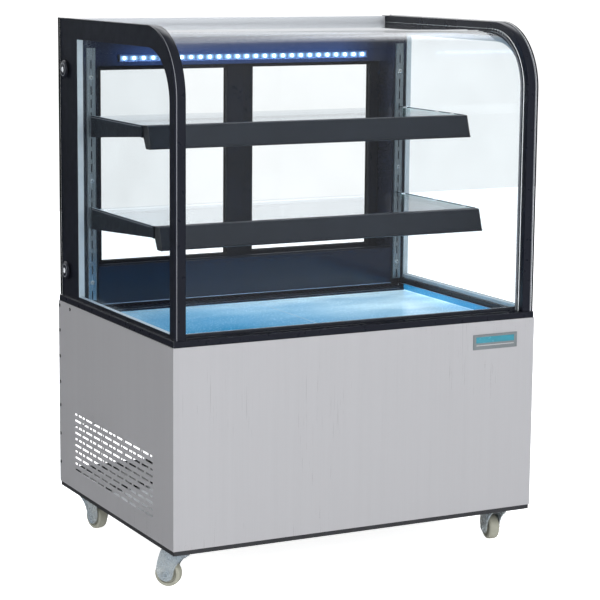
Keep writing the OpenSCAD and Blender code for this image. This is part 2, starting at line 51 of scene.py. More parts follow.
# ------------------------------------------------------------------ materials
def node(nt, kind, ins=None, **attrs):
    n = nt.nodes.new(kind)
    for k, v in attrs.items():
        setattr(n, k, v)
    for k, v in (ins or {}).items():
        s = n.inputs[k]
        if isinstance(v, bpy.types.NodeSocket):
            nt.links.new(v, s)
        else:
            s.default_value = v
    return n


def start(name):
    m = bpy.data.materials.new(name)
    m.use_nodes = True
    nt = m.node_tree
    nt.nodes.clear()
    out = nt.nodes.new("ShaderNodeOutputMaterial")
    return m, nt, out


def c4(c, k=1.0):
    return (min(1, c[0] * k), min(1, c[1] * k), min(1, c[2] * k), 1.0)


def coords(nt, scale=(1, 1, 1), rot=(0, 0, 0)):
    tc = node(nt, "ShaderNodeTexCoord")
    mp = node(nt, "ShaderNodeMapping", {"Vector": tc.outputs["Object"], "Scale": scale, "Rotation": rot})
    return mp.outputs["Vector"]


def noise(nt, vec, scale=1.0, detail=3.0, rough=0.5):
    return node(nt, "ShaderNodeTexNoise", {"Vector": vec, "Scale": scale, "Detail": detail, "Roughness": rough}).outputs["Fac"]


def span(nt, fac, a, b, f0=0.3, f1=0.7):
    return node(nt, "ShaderNodeMapRange", {"Value": fac, "From Min": f0, "From Max": f1, "To Min": a, "To Max": b}).outputs["Result"]


def mixc(nt, fac, a, b, mode="MIX"):
    n = node(nt, "ShaderNodeMix", data_type="RGBA", blend_type=mode)
    for i, v in ((0, fac), (6, a), (7, b)):
        if isinstance(v, bpy.types.NodeSocket):
            nt.links.new(v, n.inputs[i])
        else:
            n.inputs[i].default_value = v
    return n.outputs[2]


def surf(name, base, var=0.08, rough=0.4, rvar=0.08, metal=0.0, scale=60, stretch=(1, 1, 1), bump=0.05, bscale=900,
         bdist=0.0003, coat=0.0, coat_rough=0.05, spec=0.5, dust=0.0, tint=None, aniso=0.0, bstretch=(1, 1, 1), emit=None):
    """Opaque finish: slow colour drift, fine grain in roughness and a fine bump."""
    m, nt, out = start(name)
    v = coords(nt, stretch)
    slow = noise(nt, v, scale * 0.15, 2)
    fine = noise(nt, v, scale, 4, 0.6)
    col = mixc(nt, span(nt, slow, 0, 1), c4(base, 1 - var), c4(tint or base, 1 + var))
    col = mixc(nt, span(nt, fine, 0, 0.5), col, c4(base, 1 - var * 1.6))
    if dust:
        geo = node(nt, "ShaderNodeNewGeometry")
        sep = node(nt, "ShaderNodeSeparateXYZ", {"Vector": geo.outputs["Normal"]})
        up = node(nt, "ShaderNodeMath", {0: sep.outputs["Z"], 1: fine}, operation="MULTIPLY")
        col = mixc(nt, span(nt, up.outputs[0], 0, dust, 0.2, 0.6), col, (0.30, 0.29, 0.28, 1))
    r = span(nt, fine, max(0.02, rough - rvar), min(1, rough + rvar), 0.3, 0.7)
    b = noise(nt, coords(nt, bstretch), bscale, 3, 0.6)
    bn = node(nt, "ShaderNodeBump", {"Height": b, "Strength": bump, "Distance": bdist})
    p = node(nt, "ShaderNodeBsdfPrincipled", {"Base Color": col, "Roughness": r, "Metallic": metal, "Normal": bn.outputs["Normal"],
             "Coat Weight": coat, "Coat Roughness": coat_rough, "Specular IOR Level": spec})
    if aniso:
        p.inputs["Anisotropic"].default_value = aniso
        tg = node(nt, "ShaderNodeTangent", direction_type="RADIAL", axis="Z")
        nt.links.new(tg.outputs["Tangent"], p.inputs["Tangent"])
    if emit:
        p.inputs["Emission Color"].default_value = (*emit[0], 1)
        p.inputs["Emission Strength"].default_value = emit[1]
    nt.links.new(p.outputs[0], out.inputs["Surface"])
    return m


def brushed(name, base, rough=0.34, grain="Z", aniso=0.55, metal=0.72):
    """Brushed stainless: long fine lines along one axis, broad faint bands and a few handling marks."""
    m, nt, out = start(name)
    k = {"Z": (1, 1, 0.004), "X": (0.004, 1, 1), "Y": (1, 0.004, 1)}[grain]
    k2 = {"Z": (1, 1, 0.02), "X": (0.02, 1, 1), "Y": (1, 0.02, 1)}[grain]
    lines = noise(nt, coords(nt, k), 1500, 3, 0.65)
    bands = noise(nt, coords(nt, k2), 42, 3, 0.55)
    cloud = noise(nt, coords(nt), 3.2, 3, 0.5)
    col = mixc(nt, span(nt, lines, 0, 1, 0.25, 0.75), c4(base, 0.955), c4(base, 1.03))
    col = mixc(nt, span(nt, bands, 0, 0.45, 0.3, 0.75), col, c4(base, 1.05))
    r = span(nt, lines, rough - 0.07, rough + 0.09, 0.25, 0.75)
    cl = span(nt, cloud, -0.025, 0.03, 0.35, 0.65)
    r2 = node(nt, "ShaderNodeMath", {0: r, 1: cl}, operation="ADD")
    bn = node(nt, "ShaderNodeBump", {"Height": lines, "Strength": 0.06, "Distance": 0.0002})
    p = node(nt, "ShaderNodeBsdfPrincipled", {"Base Color": col, "Roughness": r2.outputs[0], "Metallic": metal, "Anisotropic": aniso,
             "Normal": bn.outputs["Normal"]})
    tg = node(nt, "ShaderNodeTangent", direction_type="RADIAL", axis="Z")
    nt.links.new(tg.outputs["Tangent"], p.inputs["Tangent"])
    nt.links.new(p.outputs[0], out.inputs["Surface"])
    return m


def glass(name, tint, smudge=0.05, base_f=0.04, graze=0.93):
    """Thin architectural glass: clear body with a faint tint, and gloss that rises towards grazing angles."""
    m, nt, out = start(name)
    lw = node(nt, "ShaderNodeLayerWeight", {"Blend": 0.5})
    p5 = node(nt, "ShaderNodeMath", {0: lw.outputs["Facing"], 1: 5.0}, operation="POWER")
    fr = node(nt, "ShaderNodeMath", {0: p5.outputs[0], 1: graze, 2: base_f}, operation="MULTIPLY_ADD")
    sm = noise(nt, coords(nt), 7, 4, 0.6)
    gl = node(nt, "ShaderNodeBsdfGlossy", {"Color": (1, 1, 1, 1), "Roughness": span(nt, sm, 0.015, 0.015 + smudge, 0.45, 0.75)})
    thick = mixc(nt, span(nt, sm, 0, 1, 0.35, 0.7), c4(tint, 1.0), c4(tint, 0.985))
    tr = node(nt, "ShaderNodeBsdfTransparent", {"Color": thick})
    mx = node(nt, "ShaderNodeMixShader", {0: fr.outputs[0], 1: tr.outputs[0], 2: gl.outputs[0]})
    nt.links.new(mx.outputs[0], out.inputs["Surface"])
    return m


def galvanised(name, base):
    m, nt, out = start(name)
    v = node(nt, "ShaderNodeTexVoronoi", {"Vector": coords(nt), "Scale": 90.0}).outputs["Color"]
    bw = node(nt, "ShaderNodeRGBToBW", {"Color": v}).outputs[0]
    col = mixc(nt, bw, c4(base, 0.8), c4(base, 1.12))
    r = span(nt, bw, 0.34, 0.56, 0, 1)
    fine = noise(nt, coords(nt), 700, 2)
    bn = node(nt, "ShaderNodeBump", {"Height": fine, "Strength": 0.08, "Distance": 0.0002})
    p = node(nt, "ShaderNodeBsdfPrincipled", {"Base Color": col, "Roughness": r, "Metallic": 0.9, "Normal": bn.outputs["Normal"]})
    nt.links.new(p.outputs[0], out.inputs["Surface"])
    return m


def finned(name, base, axis="Y", pitch=0.0026):
    m, nt, out = start(name)
    w = node(nt, "ShaderNodeTexWave", {"Vector": coords(nt), "Scale": 1 / (pitch * 20) * math.pi * 2 / 2, "Distortion": 0.15, "Detail": 1.0, "Detail Scale": 2.0},
             wave_type="BANDS", bands_direction=axis).outputs["Fac"]
    n = noise(nt, coords(nt), 30, 3)
    # the darker bands are painted shade between the fins
    col = mixc(nt, w, c4(base, 0.35), c4(base, 1.0))
    col = mixc(nt, span(nt, n, 0, 0.35), col, c4((0.25, 0.24, 0.22), 1.0))
    bn = node(nt, "ShaderNodeBump", {"Height": w, "Strength": 0.7, "Distance": 0.001})
    p = node(nt, "ShaderNodeBsdfPrincipled", {"Base Color": col, "Roughness": span(nt, n, 0.35, 0.6), "Metallic": 0.85, "Normal": bn.outputs["Normal"]})
    nt.links.new(p.outputs[0], out.inputs["Surface"])
    return m


def painted_light_enamel(name, base, painted_lit_tone, cx, cy, glow):
    """White enamel deck with painted cold light: its colour runs from a blue base to a pale lit tone, paler and
    brighter towards its rear edge and its right side, and the same amount sets a painted glow.
    """
    m, nt, out = start(name)
    tc = node(nt, "ShaderNodeTexCoord")
    sep = node(nt, "ShaderNodeSeparateXYZ", {"Vector": tc.outputs["Object"]})
    back = span(nt, sep.outputs["Y"], 0.0, 1.0, cy[0], cy[1])
    n = noise(nt, coords(nt, (1.0, 2.2, 1)), 5.0, 2, 0.5)
    side = span(nt, sep.outputs["X"], 0.0, 0.7, cx[0], cx[1])
    both = node(nt, "ShaderNodeMath", {0: back, 1: 0.55, 2: side}, operation="MULTIPLY_ADD")
    cap = node(nt, "ShaderNodeMath", {0: both.outputs[0], 1: 1.0}, operation="MINIMUM")
    painted_light_amt = node(nt, "ShaderNodeMath", {0: cap.outputs[0], 1: span(nt, n, 0.65, 1.15)}, operation="MULTIPLY")
    col = mixc(nt, painted_light_amt.outputs[0], c4(base), c4(painted_lit_tone))
    # a band just above the floor, at the foot of the tray walls, gets a deeper painted blue and a quarter of the
    # painted glow
    wall = span(nt, sep.outputs["Z"], 0.0, 1.0, 0.5306, 0.5325)
    col = mixc(nt, wall, col, c4((0.03, 0.31, 0.56)))
    fine = noise(nt, coords(nt), 260, 3)
    bn = node(nt, "ShaderNodeBump", {"Height": fine, "Strength": 0.05, "Distance": 0.0003})
    # painted glow: emission that follows the painted light amount
    st0 = node(nt, "ShaderNodeMath", {0: painted_light_amt.outputs[0], 1: glow[1] - glow[0], 2: glow[0]}, operation="MULTIPLY_ADD")
    keep = node(nt, "ShaderNodeMath", {0: wall, 1: -0.75, 2: 1.0}, operation="MULTIPLY_ADD")
    st = node(nt, "ShaderNodeMath", {0: st0.outputs[0], 1: keep.outputs[0]}, operation="MULTIPLY")
    p = node(nt, "ShaderNodeBsdfPrincipled", {"Base Color": col, "Roughness": span(nt, fine, 0.16, 0.3), "Coat Weight": 0.4, "Coat Roughness": 0.08,
             "Normal": bn.outputs["Normal"], "Emission Color": col, "Emission Strength": st.outputs[0]})
    nt.links.new(p.outputs[0], out.inputs["Surface"])
    return m


def spots(name, pitch, z0, width, col, strength, base=(0.55, 0.65, 0.8), low=0.05):
    """Row of light chips under a cover lens, or the board they sit on: light falls off round each chip, and on the
    board that glow is painted light.
    """
    m, nt, out = start(name)
    tc = node(nt, "ShaderNodeTexCoord")
    sep = node(nt, "ShaderNodeSeparateXYZ", {"Vector": tc.outputs["Object"]})
    u = node(nt, "ShaderNodeMath", {0: sep.outputs["X"], 1: 1.0 / pitch, 2: 200.5}, operation="MULTIPLY_ADD")
    f = node(nt, "ShaderNodeMath", {0: u.outputs[0]}, operation="FRACT")
    d = node(nt, "ShaderNodeMath", {0: f.outputs[0], 1: 0.5}, operation="SUBTRACT")
    dx = node(nt, "ShaderNodeMath", {0: d.outputs[0], 1: pitch / width}, operation="MULTIPLY")
    dz0 = node(nt, "ShaderNodeMath", {0: sep.outputs["Z"], 1: z0}, operation="SUBTRACT")
    dz = node(nt, "ShaderNodeMath", {0: dz0.outputs[0], 1: 1.0 / width}, operation="MULTIPLY")
    x2 = node(nt, "ShaderNodeMath", {0: dx.outputs[0], 1: dx.outputs[0]}, operation="MULTIPLY")
    r2 = node(nt, "ShaderNodeMath", {0: dz.outputs[0], 1: dz.outputs[0], 2: x2.outputs[0]}, operation="MULTIPLY_ADD")
    ng = node(nt, "ShaderNodeMath", {0: r2.outputs[0], 1: -1.0}, operation="MULTIPLY")
    ex = node(nt, "ShaderNodeMath", {0: ng.outputs[0]}, operation="EXPONENT")
    st = node(nt, "ShaderNodeMath", {0: ex.outputs[0], 1: strength, 2: low}, operation="MULTIPLY_ADD")
    p = node(nt, "ShaderNodeBsdfPrincipled", {"Base Color": c4(base), "Roughness": 0.25, "Emission Color": (*col, 1), "Emission Strength": st.outputs[0]})
    nt.links.new(p.outputs[0], out.inputs["Surface"])
    return m


def painted_glow_frame(name, base, rough, col, z0, width, strength, half):
    """Black frame with a painted glow of the strip's cold light: the painted glow fades above and below the strip and
    past its ends.
    """
    m, nt, out = start(name)
    tc = node(nt, "ShaderNodeTexCoord")
    sep = node(nt, "ShaderNodeSeparateXYZ", {"Vector": tc.outputs["Object"]})
    a = node(nt, "ShaderNodeMath", {0: sep.outputs["Z"], 1: z0}, operation="SUBTRACT")
    b = node(nt, "ShaderNodeMath", {0: a.outputs[0], 1: 1.0 / width}, operation="MULTIPLY")
    c = node(nt, "ShaderNodeMath", {0: b.outputs[0], 1: b.outputs[0]}, operation="MULTIPLY")
    d = node(nt, "ShaderNodeMath", {0: c.outputs[0], 1: -1.0}, operation="MULTIPLY")
    e = node(nt, "ShaderNodeMath", {0: d.outputs[0]}, operation="EXPONENT")
    ax = node(nt, "ShaderNodeMath", {0: sep.outputs["X"]}, operation="ABSOLUTE")
    f = span(nt, ax.outputs[0], 1.0, 0.12, half - 0.05, half + 0.05)
    fine = noise(nt, coords(nt), 420, 3, 0.6)
    g = node(nt, "ShaderNodeMath", {0: e.outputs[0], 1: f}, operation="MULTIPLY")
    h = node(nt, "ShaderNodeMath", {0: g.outputs[0], 1: span(nt, fine, 0.75, 1.3)}, operation="MULTIPLY")
    st = node(nt, "ShaderNodeMath", {0: h.outputs[0], 1: strength}, operation="MULTIPLY")
    c2 = mixc(nt, span(nt, fine, 0, 1), c4(base, 0.85), c4(base, 1.15))
    bn = node(nt, "ShaderNodeBump", {"Height": fine, "Strength": 0.02, "Distance": 0.0002})
    p = node(nt, "ShaderNodeBsdfPrincipled", {"Base Color": c2, "Roughness": span(nt, fine, rough - 0.04, rough + 0.04), "Specular IOR Level": 0.25,
             "Normal": bn.outputs["Normal"], "Emission Color": (*col, 1), "Emission Strength": st.outputs[0]})
    nt.links.new(p.outputs[0], out.inputs["Surface"])
    return m


MAT = {
    "stainless": brushed("m_stainless", (0.63, 0.628, 0.65)),
    "slotted_steel": brushed("m_slotted", (0.34, 0.40, 0.44), 0.28, metal=0.9),
    "galvanised": galvanised("m_galvanised", (0.55, 0.57, 0.59)),
    "zinc": surf("m_zinc", (0.42, 0.50, 0.57), 0.16, 0.27, 0.12, 0.55, 90, bump=0.18, bscale=420, tint=(0.62, 0.63, 0.58)),
    "nylon": surf("m_nylon", (0.30, 0.30, 0.245), 0.2, 0.42, 0.1, 0.0, 70, bump=0.12, bscale=500, spec=0.45, tint=(0.24, 0.24, 0.20)),
    "black_steel": surf("m_black_steel", (0.022, 0.023, 0.026), 0.2, 0.42, 0.1, 0.0, 80, bump=0.2, bscale=1100, dust=0.12),
    "black_wire": surf("m_black_wire", (0.025, 0.026, 0.03), 0.2, 0.35, 0.1, 0.0, 90, bump=0.1),
    "black_screw": surf("m_black_screw", (0.02, 0.02, 0.022), 0.2, 0.3, 0.1, 0.7, 200, bump=0.1),
    "badge": surf("m_badge", (0.17, 0.19, 0.20), 0.06, 0.36, 0.05, 0.4, 120, (1, 1, 1), bump=0.05, aniso=0.3),
    "white_liner": surf("m_white_liner", (0.72, 0.76, 0.80), 0.04, 0.45, 0.08, 0.0, 40, bump=0.08, bscale=400),
    # deck: the blue base and pale tone are painted cold light over white enamel
    "deck_white": painted_light_enamel("m_deck_painted_light", (0.015, 0.29, 0.54), (0.60, 0.80, 0.88), (-0.22, 0.36), (-0.12, 0.2), (0.16, 0.52)),
    "black_gloss": surf("m_black_gloss", (0.008, 0.012, 0.026), 0.2, 0.14, 0.04, 0.0, 30, bump=0.01, bscale=120, bdist=0.0004, coat=0.2, coat_rough=0.03, spec=0.3),
    "black_enamel": surf("m_black_enamel", (0.016, 0.016, 0.018), 0.2, 0.28, 0.08, 0.0, 60, bump=0.15, bscale=300, coat=0.4, dust=0.2),
    "rubber": surf("m_rubber", (0.03, 0.03, 0.031), 0.15, 0.75, 0.1, 0.0, 120, bump=0.25, bscale=900, spec=0.3),
    "fin_aluminium": finned("m_fins", (0.60, 0.62, 0.64)),
    "fan_aluminium": surf("m_fan_aluminium", (0.62, 0.63, 0.65), 0.08, 0.38, 0.08, 1.0, 90, bump=0.06),
    "copper": surf("m_copper", (0.66, 0.33, 0.19), 0.22, 0.3, 0.12, 1.0, 45, bump=0.08, tint=(0.42, 0.22, 0.14)),
    "black_plastic": surf("m_black_plastic", (0.024, 0.025, 0.028), 0.15, 0.5, 0.08, 0.0, 90, bump=0.25, bscale=1600),
    "grey_plastic": surf("m_grey_plastic", (0.22, 0.23, 0.25), 0.08, 0.5, 0.08, 0.0, 80, bump=0.25, bscale=1500),
    "white_plastic": surf("m_white_plastic", (0.70, 0.72, 0.74), 0.05, 0.35, 0.06, 0.0, 80, bump=0.08),
    "black_frame": surf("m_black_frame", (0.0065, 0.0075, 0.012), 0.1, 0.28, 0.01, 0.0, 60, bump=0.004, bscale=900, bdist=0.0001, coat=0.1, coat_rough=0.15, spec=0.2),
    "glass": glass("m_glass", (0.984, 0.994, 0.997), 0.03, 0.028),
    "grey_aluminium": surf("m_grey_aluminium", (0.10, 0.11, 0.125), 0.1, 0.34, 0.08, 0.9, 90, (0.02, 1, 1), bump=0.05),
    "dark_bracket": surf("m_dark_bracket", (0.011, 0.014, 0.020), 0.12, 0.48, 0.06, 0.0, 60, bump=0.08, bscale=900, spec=0.18),
    # LED channel: the blue emission is a painted glow of the strip's light
    "led_channel": surf("m_led_channel_painted_glow", (0.03, 0.045, 0.09), 0.06, 0.34, 0.06, 0.0, 120, (0.02, 1, 1), bump=0.05, spec=0.25, emit=((0.10, 0.24, 0.80), 0.22)),
}
M_SIDE_GLASS = glass("m_side_glass", (0.982, 0.994, 1.0), 0.02, 0.014, 0.35)
# rear frame: painted glow of the strip's cold light
M_PAINTED_GLOW_FRAME = painted_glow_frame("m_rear_frame_painted_glow", (0.008, 0.010, 0.018), 0.26, (0.10, 0.24, 0.80), 1.128, 0.032, 0.24, 0.31)
M_FRIT = surf("m_frit", (0.006, 0.007, 0.012), 0.15, 0.35, 0.05, 0.0, 40, bump=0.03, bscale=200, spec=0.15)
M_SEAL = surf("m_sealant", (0.16, 0.17, 0.19), 0.12, 0.38, 0.06, 0.0, 90, bump=0.12, bscale=300)
M_GASKET = surf("m_gasket", (0.012, 0.012, 0.014), 0.15, 0.6, 0.08, 0.0, 120, bump=0.2, bscale=900)
M_SPACER = surf("m_spacer", (0.47, 0.53, 0.57), 0.05, 0.42, 0.04, 0.25, 300, bump=0.05, bscale=900)
M_BRIGHT = surf("m_bright_trim", (0.80, 0.84, 0.88), 0.05, 0.22, 0.05, 1.0, 200, bump=0.05)
# green glass edge with a faint painted glow
M_GLASS_EDGE_GLOW = surf("m_glass_edge", (0.30, 0.52, 0.50), 0.12, 0.14, 0.04, 0.0, 120, bump=0.1, coat=0.6, emit=((0.25, 0.5, 0.5), 0.10))
# pale glass edge, partly a painted highlight
M_GLASS_EDGE_HIGHLIGHT = surf("m_glass_edge_painted_highlight", (0.74, 0.80, 0.82), 0.06, 0.2, 0.05, 0.0, 120, bump=0.1, coat=0.5)
M_RAIL = surf("m_pale_rail", (0.50, 0.52, 0.55), 0.04, 0.4, 0.04, 0.2, 90, (0.02, 1, 1), bump=0.02)
# blue-grey edge lines: painted highlights in the cold light
M_RIM_HIGHLIGHT = surf("m_rim_painted_highlight", (0.26, 0.36, 0.50), 0.05, 0.35, 0.05, 0.3, 200, bump=0.03)
M_TEAL = surf("m_badge_field", (0.035, 0.20, 0.26), 0.12, 0.25, 0.05, 0.2, 120, bump=0.05, coat=0.6)
# pale cap screw, partly a painted highlight
M_STUD_HIGHLIGHT = surf("m_stud_painted_highlight", (0.74, 0.77, 0.80), 0.05, 0.2, 0.04, 0.3, 150, bump=0.03)
M_CHROME = surf("m_chrome", (0.78, 0.79, 0.81), 0.05, 0.1, 0.04, 1.0, 150, bump=0.03)
# board behind the chips: painted glow of their light
M_BOARD_PAINTED_GLOW = spots("m_led_board_painted_glow", 0.0245, 1.122, 0.0078, (0.30, 0.58, 1.0), 2.4, (0.02, 0.04, 0.10), 0.10)
M_LED = surf("m_led_chip", (0.9, 0.95, 1.0), 0.02, 0.3, 0.05, 0.0, 100, bump=0.02, emit=((0.80, 0.93, 1.0), 9.0))
M_LENS = spots("m_led_cover", 0.0245, 1.122, 0.0042, (0.62, 0.84, 1.0), 7.0)
M_DISPLAY = surf("m_display", (0.03, 0.004, 0.004), 0.1, 0.12, 0.03, 0.0, 60, bump=0.02, coat=0.8)
M_DIGIT = surf("m_digit", (0.9, 0.08, 0.04), 0.05, 0.3, 0.05, 0.0, 60, bump=0.02, emit=((1.0, 0.10, 0.05), 3.0))
M_BUTTON = surf("m_button", (0.12, 0.12, 0.13), 0.1, 0.5, 0.06, 0.0, 90, bump=0.2, bscale=1200)
M_LABEL = surf("m_plain_plate", (0.55, 0.56, 0.57), 0.05, 0.4, 0.06, 0.6, 90, bump=0.05)
M_WIRE_A = surf("m_wire_brown", (0.12, 0.05, 0.025), 0.1, 0.4, 0.05, 0.0, 90, bump=0.05)
M_WIRE_B = surf("m_wire_blue", (0.02, 0.07, 0.22), 0.1, 0.4, 0.05, 0.0, 90, bump=0.05)
M_FOAM = surf("m_foam_sleeve", (0.035, 0.035, 0.036), 0.15, 0.85, 0.06, 0.0, 200, bump=0.4, bscale=1500)

slot_of = {r["node"]: r.get("material_slot") for r in frame["record"].get("subparts", [])}
for n, o in NODES.items():
    s = slot_of.get(n) or (o.data.materials[0].name.split(".")[0] if o.data.materials and o.data.materials[0] else "black_plastic")
    o.data.materials.clear()
    o.data.materials.append({"side_glass_left": M_SIDE_GLASS, "side_glass_right": M_SIDE_GLASS, "rear_frame": M_PAINTED_GLOW_FRAME}.get(n, MAT[s]))

# softened edges on the formed and extruded parts that stay as they are
for n, w in {"edge_trims": 0.9, "glass_base_frame": 0.8, "shelf_profiles": 0.5, "rear_frame": 0.8, "door_left_frame": 0.8,
             "door_right_frame": 0.8, "front_panel": 0.35, "badge_plate": 0.3, "base_frame": 1.0, "temperature_controller": 0.35,
             "deck_tray": 0.35, "air_riser": 0.4, "front_glass": 0.5, "shelf_glass": 0.5, "electrical_box": 1.2, "condensate_pan": 0.4}.items():
    o = NODES[n]
    wd = o.modifiers.new("weld", "WELD")
    wd.merge_threshold = 1e-6
    bv = o.modifiers.new("soft_edges", "BEVEL")
    bv.width = w * MM
    bv.segments = 2
    bv.limit_method = "ANGLE"
    bv.angle_limit = math.radians(40)
    bv.harden_normals = True
    bv.use_clamp_overlap = True


# --------------------------------------------------------------- mesh helpers
def put(name, bm, mat, body="root", smooth=0):
    me = bpy.data.meshes.new(name)
    bmesh.ops.recalc_face_normals(bm, faces=bm.faces)
    bm.to_mesh(me)
    bm.free()
    o = bpy.data.objects.new(name, me)
    scene.collection.objects.link(o)
    me.materials.append(mat)
    if smooth:
        for p in me.polygons:
            p.use_smooth = True
        me.set_sharp_from_angle(angle=math.radians(smooth))
    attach(o, body)
    return o


def add_box(bm, a, b, bevel=0.3, segs=2):
    lo = [min(p, q) * MM for p, q in zip(a, b)]
    hi = [max(p, q) * MM for p, q in zip(a, b)]
    r = bmesh.ops.create_cube(bm, size=1.0)
    for v in r["verts"]:
        v.co = Vector([lo[i] + (v.co[i] + 0.5) * (hi[i] - lo[i]) for i in range(3)])
    if bevel:
        w = min(bevel * MM, 0.45 * min(h - l for h, l in zip(hi, lo)))
        es = list({e for v in r["verts"] for e in v.link_edges})
        bmesh.ops.bevel(bm, geom=es, offset=w, segments=segs, affect="EDGES", profile=0.5)


def boxes(name, items, mat, body="root", bevel=0.3, segs=2):
    bm = bmesh.new()
    for a, b in items:
        add_box(bm, a, b, bevel, segs)
    return put(name, bm, mat, body, 35)


def frame_to(axis, centre):
    """Matrix that takes the local Z axis to the given axis at a centre in mm."""
    q = Vector(axis).normalized().to_track_quat("Z", "Y")
    return Matrix.Translation(Vector(centre) * MM) @ q.to_matrix().to_4x4()


def add_lathe(bm, prof, axis, centre, n=40, flute=None):
    """Turns (r, z) points in mm round an axis. Ends at r 0 close the form; otherwise it is a ring."""
    mtx = frame_to(axis, centre)
    rings = []
    for r, z in prof:
        if r < 1e-6:
            rings.append([bm.verts.new(mtx @ Vector((0, 0, z * MM)))])
        else:
            rings.append([bm.verts.new(mtx @ Vector((r * MM * math.cos(2 * math.pi * i / n), r * MM * math.sin(2 * math.pi * i / n), z * MM))) for i in range(n)])
    closed = len(rings[0]) > 1 and len(rings[-1]) > 1
    pairs = list(zip(rings, rings[1:])) + ([(rings[-1], rings[0])] if closed else [])
    for p, q in pairs:
        for i in range(n):
            j = (i + 1) % n
            if len(p) == 1 and len(q) == 1:
                continue
            if len(p) == 1:
                bm.faces.new((p[0], q[i], q[j]))
            elif len(q) == 1:
                bm.faces.new((p[i], p[j], q[0]))
            else:
                bm.faces.new((p[i], p[j], q[j], q[i]))


def lathe(name, prof, axis, centres, mat, body="root", n=40):
    bm = bmesh.new()
    for c in centres:
        add_lathe(bm, prof, axis, c, n)
    return put(name, bm, mat, body, 40)


def ring_prof(r, t, k=8):
    return [(r + t * math.cos(2 * math.pi * i / k), t * math.sin(2 * math.pi * i / k)) for i in range(k)]


def loop(y0, y1, z0, z1, r, n=26):
    """Side outline (y, z) in mm, square at the rear and rounded at the top front."""
    pts = [(y1, z0), (y1, z1)]
    for i in range(n + 1):
        a = math.pi / 2 + math.pi / 2 * i / n
        pts.append((y0 + r + r * math.cos(a), z1 - r + r * math.sin(a)))
    pts.append((y0, z0))
    return pts


def ring_x(name, x0, x1, outer, inner, mat, body="root", close=True):
    """Flat band between two (y, z) loops of the same length, from x0 to x1, for both sides of the case."""
    for side, s in (("left", -1), ("right", 1)):
        bm = bmesh.new()
        L = [[bm.verts.new((s * x * MM, y * MM, z * MM)) for y, z in pts] for x in (x0, x1) for pts in (outer, inner)]
        o0, i0, o1, i1 = L
        n = len(outer)
        rng = range(n) if close else range(n - 1)
        for k in rng:
            j = (k + 1) % n
            for a, b in ((o0, i0), (i0, i1), (i1, o1), (o1, o0)):
                bm.faces.new((a[k], a[j], b[j], b[k]))
        if not close:
            for k in (0, n - 1):
                bm.faces.new((o0[k], i0[k], i1[k], o1[k]))
        put(f"{name}_{side}", bm, mat, body, 35)


def tube(name, pts, r, mat, body="root", n=10):
    """Round tube along points in mm."""
    bm = bmesh.new()
    P = [Vector(p) * MM for p in pts]
    rings = []
    ref = None
    for i, p in enumerate(P):
        t = (P[min(i + 1, len(P) - 1)] - P[max(i - 1, 0)]).normalized()
        if ref is None:
            ref = t.orthogonal().normalized()
        ref = (ref - t * ref.dot(t)).normalized()
        b = t.cross(ref)
        rings.append([bm.verts.new(p + (ref * math.cos(2 * math.pi * k / n) + b * math.sin(2 * math.pi * k / n)) * r * MM) for k in range(n)])
    for a, c in zip(rings, rings[1:]):
        for k in range(n):
            j = (k + 1) % n
            bm.faces.new((a[k], a[j], c[j], c[k]))
    bm.faces.new(rings[0][::-1])
    bm.faces.new(rings[-1])
    return put(name, bm, mat, body, 50)


def smooth_path(ctrl, n=8):
    """Catmull-Rom through control points."""
    P = [Vector(p) for p in ctrl]
    P = [P[0] * 2 - P[1]] + P + [P[-1] * 2 - P[-2]]
    out = []
    for i in range(1, len(P) - 2):
        for k in range(n):
            t = k / n
            a, b, c, d = P[i - 1], P[i], P[i + 1], P[i + 2]
            out.append(0.5 * ((2 * b) + (c - a) * t + (2 * a - 5 * b + 4 * c - d) * t * t + (3 * b - a - 3 * c + d) * t ** 3))
    out.append(P[-2])
    return out


# ----------------------------------------------------------------- glass case
sg_lo, sg_hi = bx("side_glass_left")
GX, GF, GR, RIM, TOP = -sg_lo.x, -sg_lo.y, sg_hi.y, sg_lo.z, sg_hi.z      # 450, 334, 335, 558, 1215
CR = 150.0
ein = GX - 4.5                                                           # inner face of the outer pane


def J(d):
    return loop(-GF + d, GR, RIM + (0.4 if d > 0 else 0), TOP - d, CR - d)


# black border printed on the inner face of each outer pane
ring_x("pane_border", ein - 0.35, ein - 0.05, loop(-GF + 0.8, GR - 0.6, RIM + 0.3, TOP - 0.8, CR - 0.8),
       loop(-299, 226.5, 567.5, 1168, 116), M_FRIT)
# dark ground edge of each outer pane
ring_x("pane_edge", ein + 0.1, GX - 0.15, loop(-GF - 0.28, GR - 0.5, RIM + 0.4, TOP + 0.28, CR + 0.28),
       loop(-GF - 0.02, GR - 0.5, RIM + 0.4, TOP + 0.02, CR + 0.02), M_FRIT, close=False)
# sealant between the pane and the rim
ring_x("pane_sealant", 443.1, ein - 0.4, loop(-GF + 1.6, GR - 2, RIM + 0.5, TOP - 1.6, CR - 1.6),
       loop(-GF + 7, GR - 8, RIM + 6, TOP - 7, CR - 7), M_SEAL)
# spacer bar of the double glazing
ring_x("pane_spacer", 432.2, ein - 0.5, loop(-300.6, 226.6, RIM + 0.6, 1180.8, 116.5),
       loop(-299.4, 222.4, 566.8, 1168.6, 115), M_SPACER)
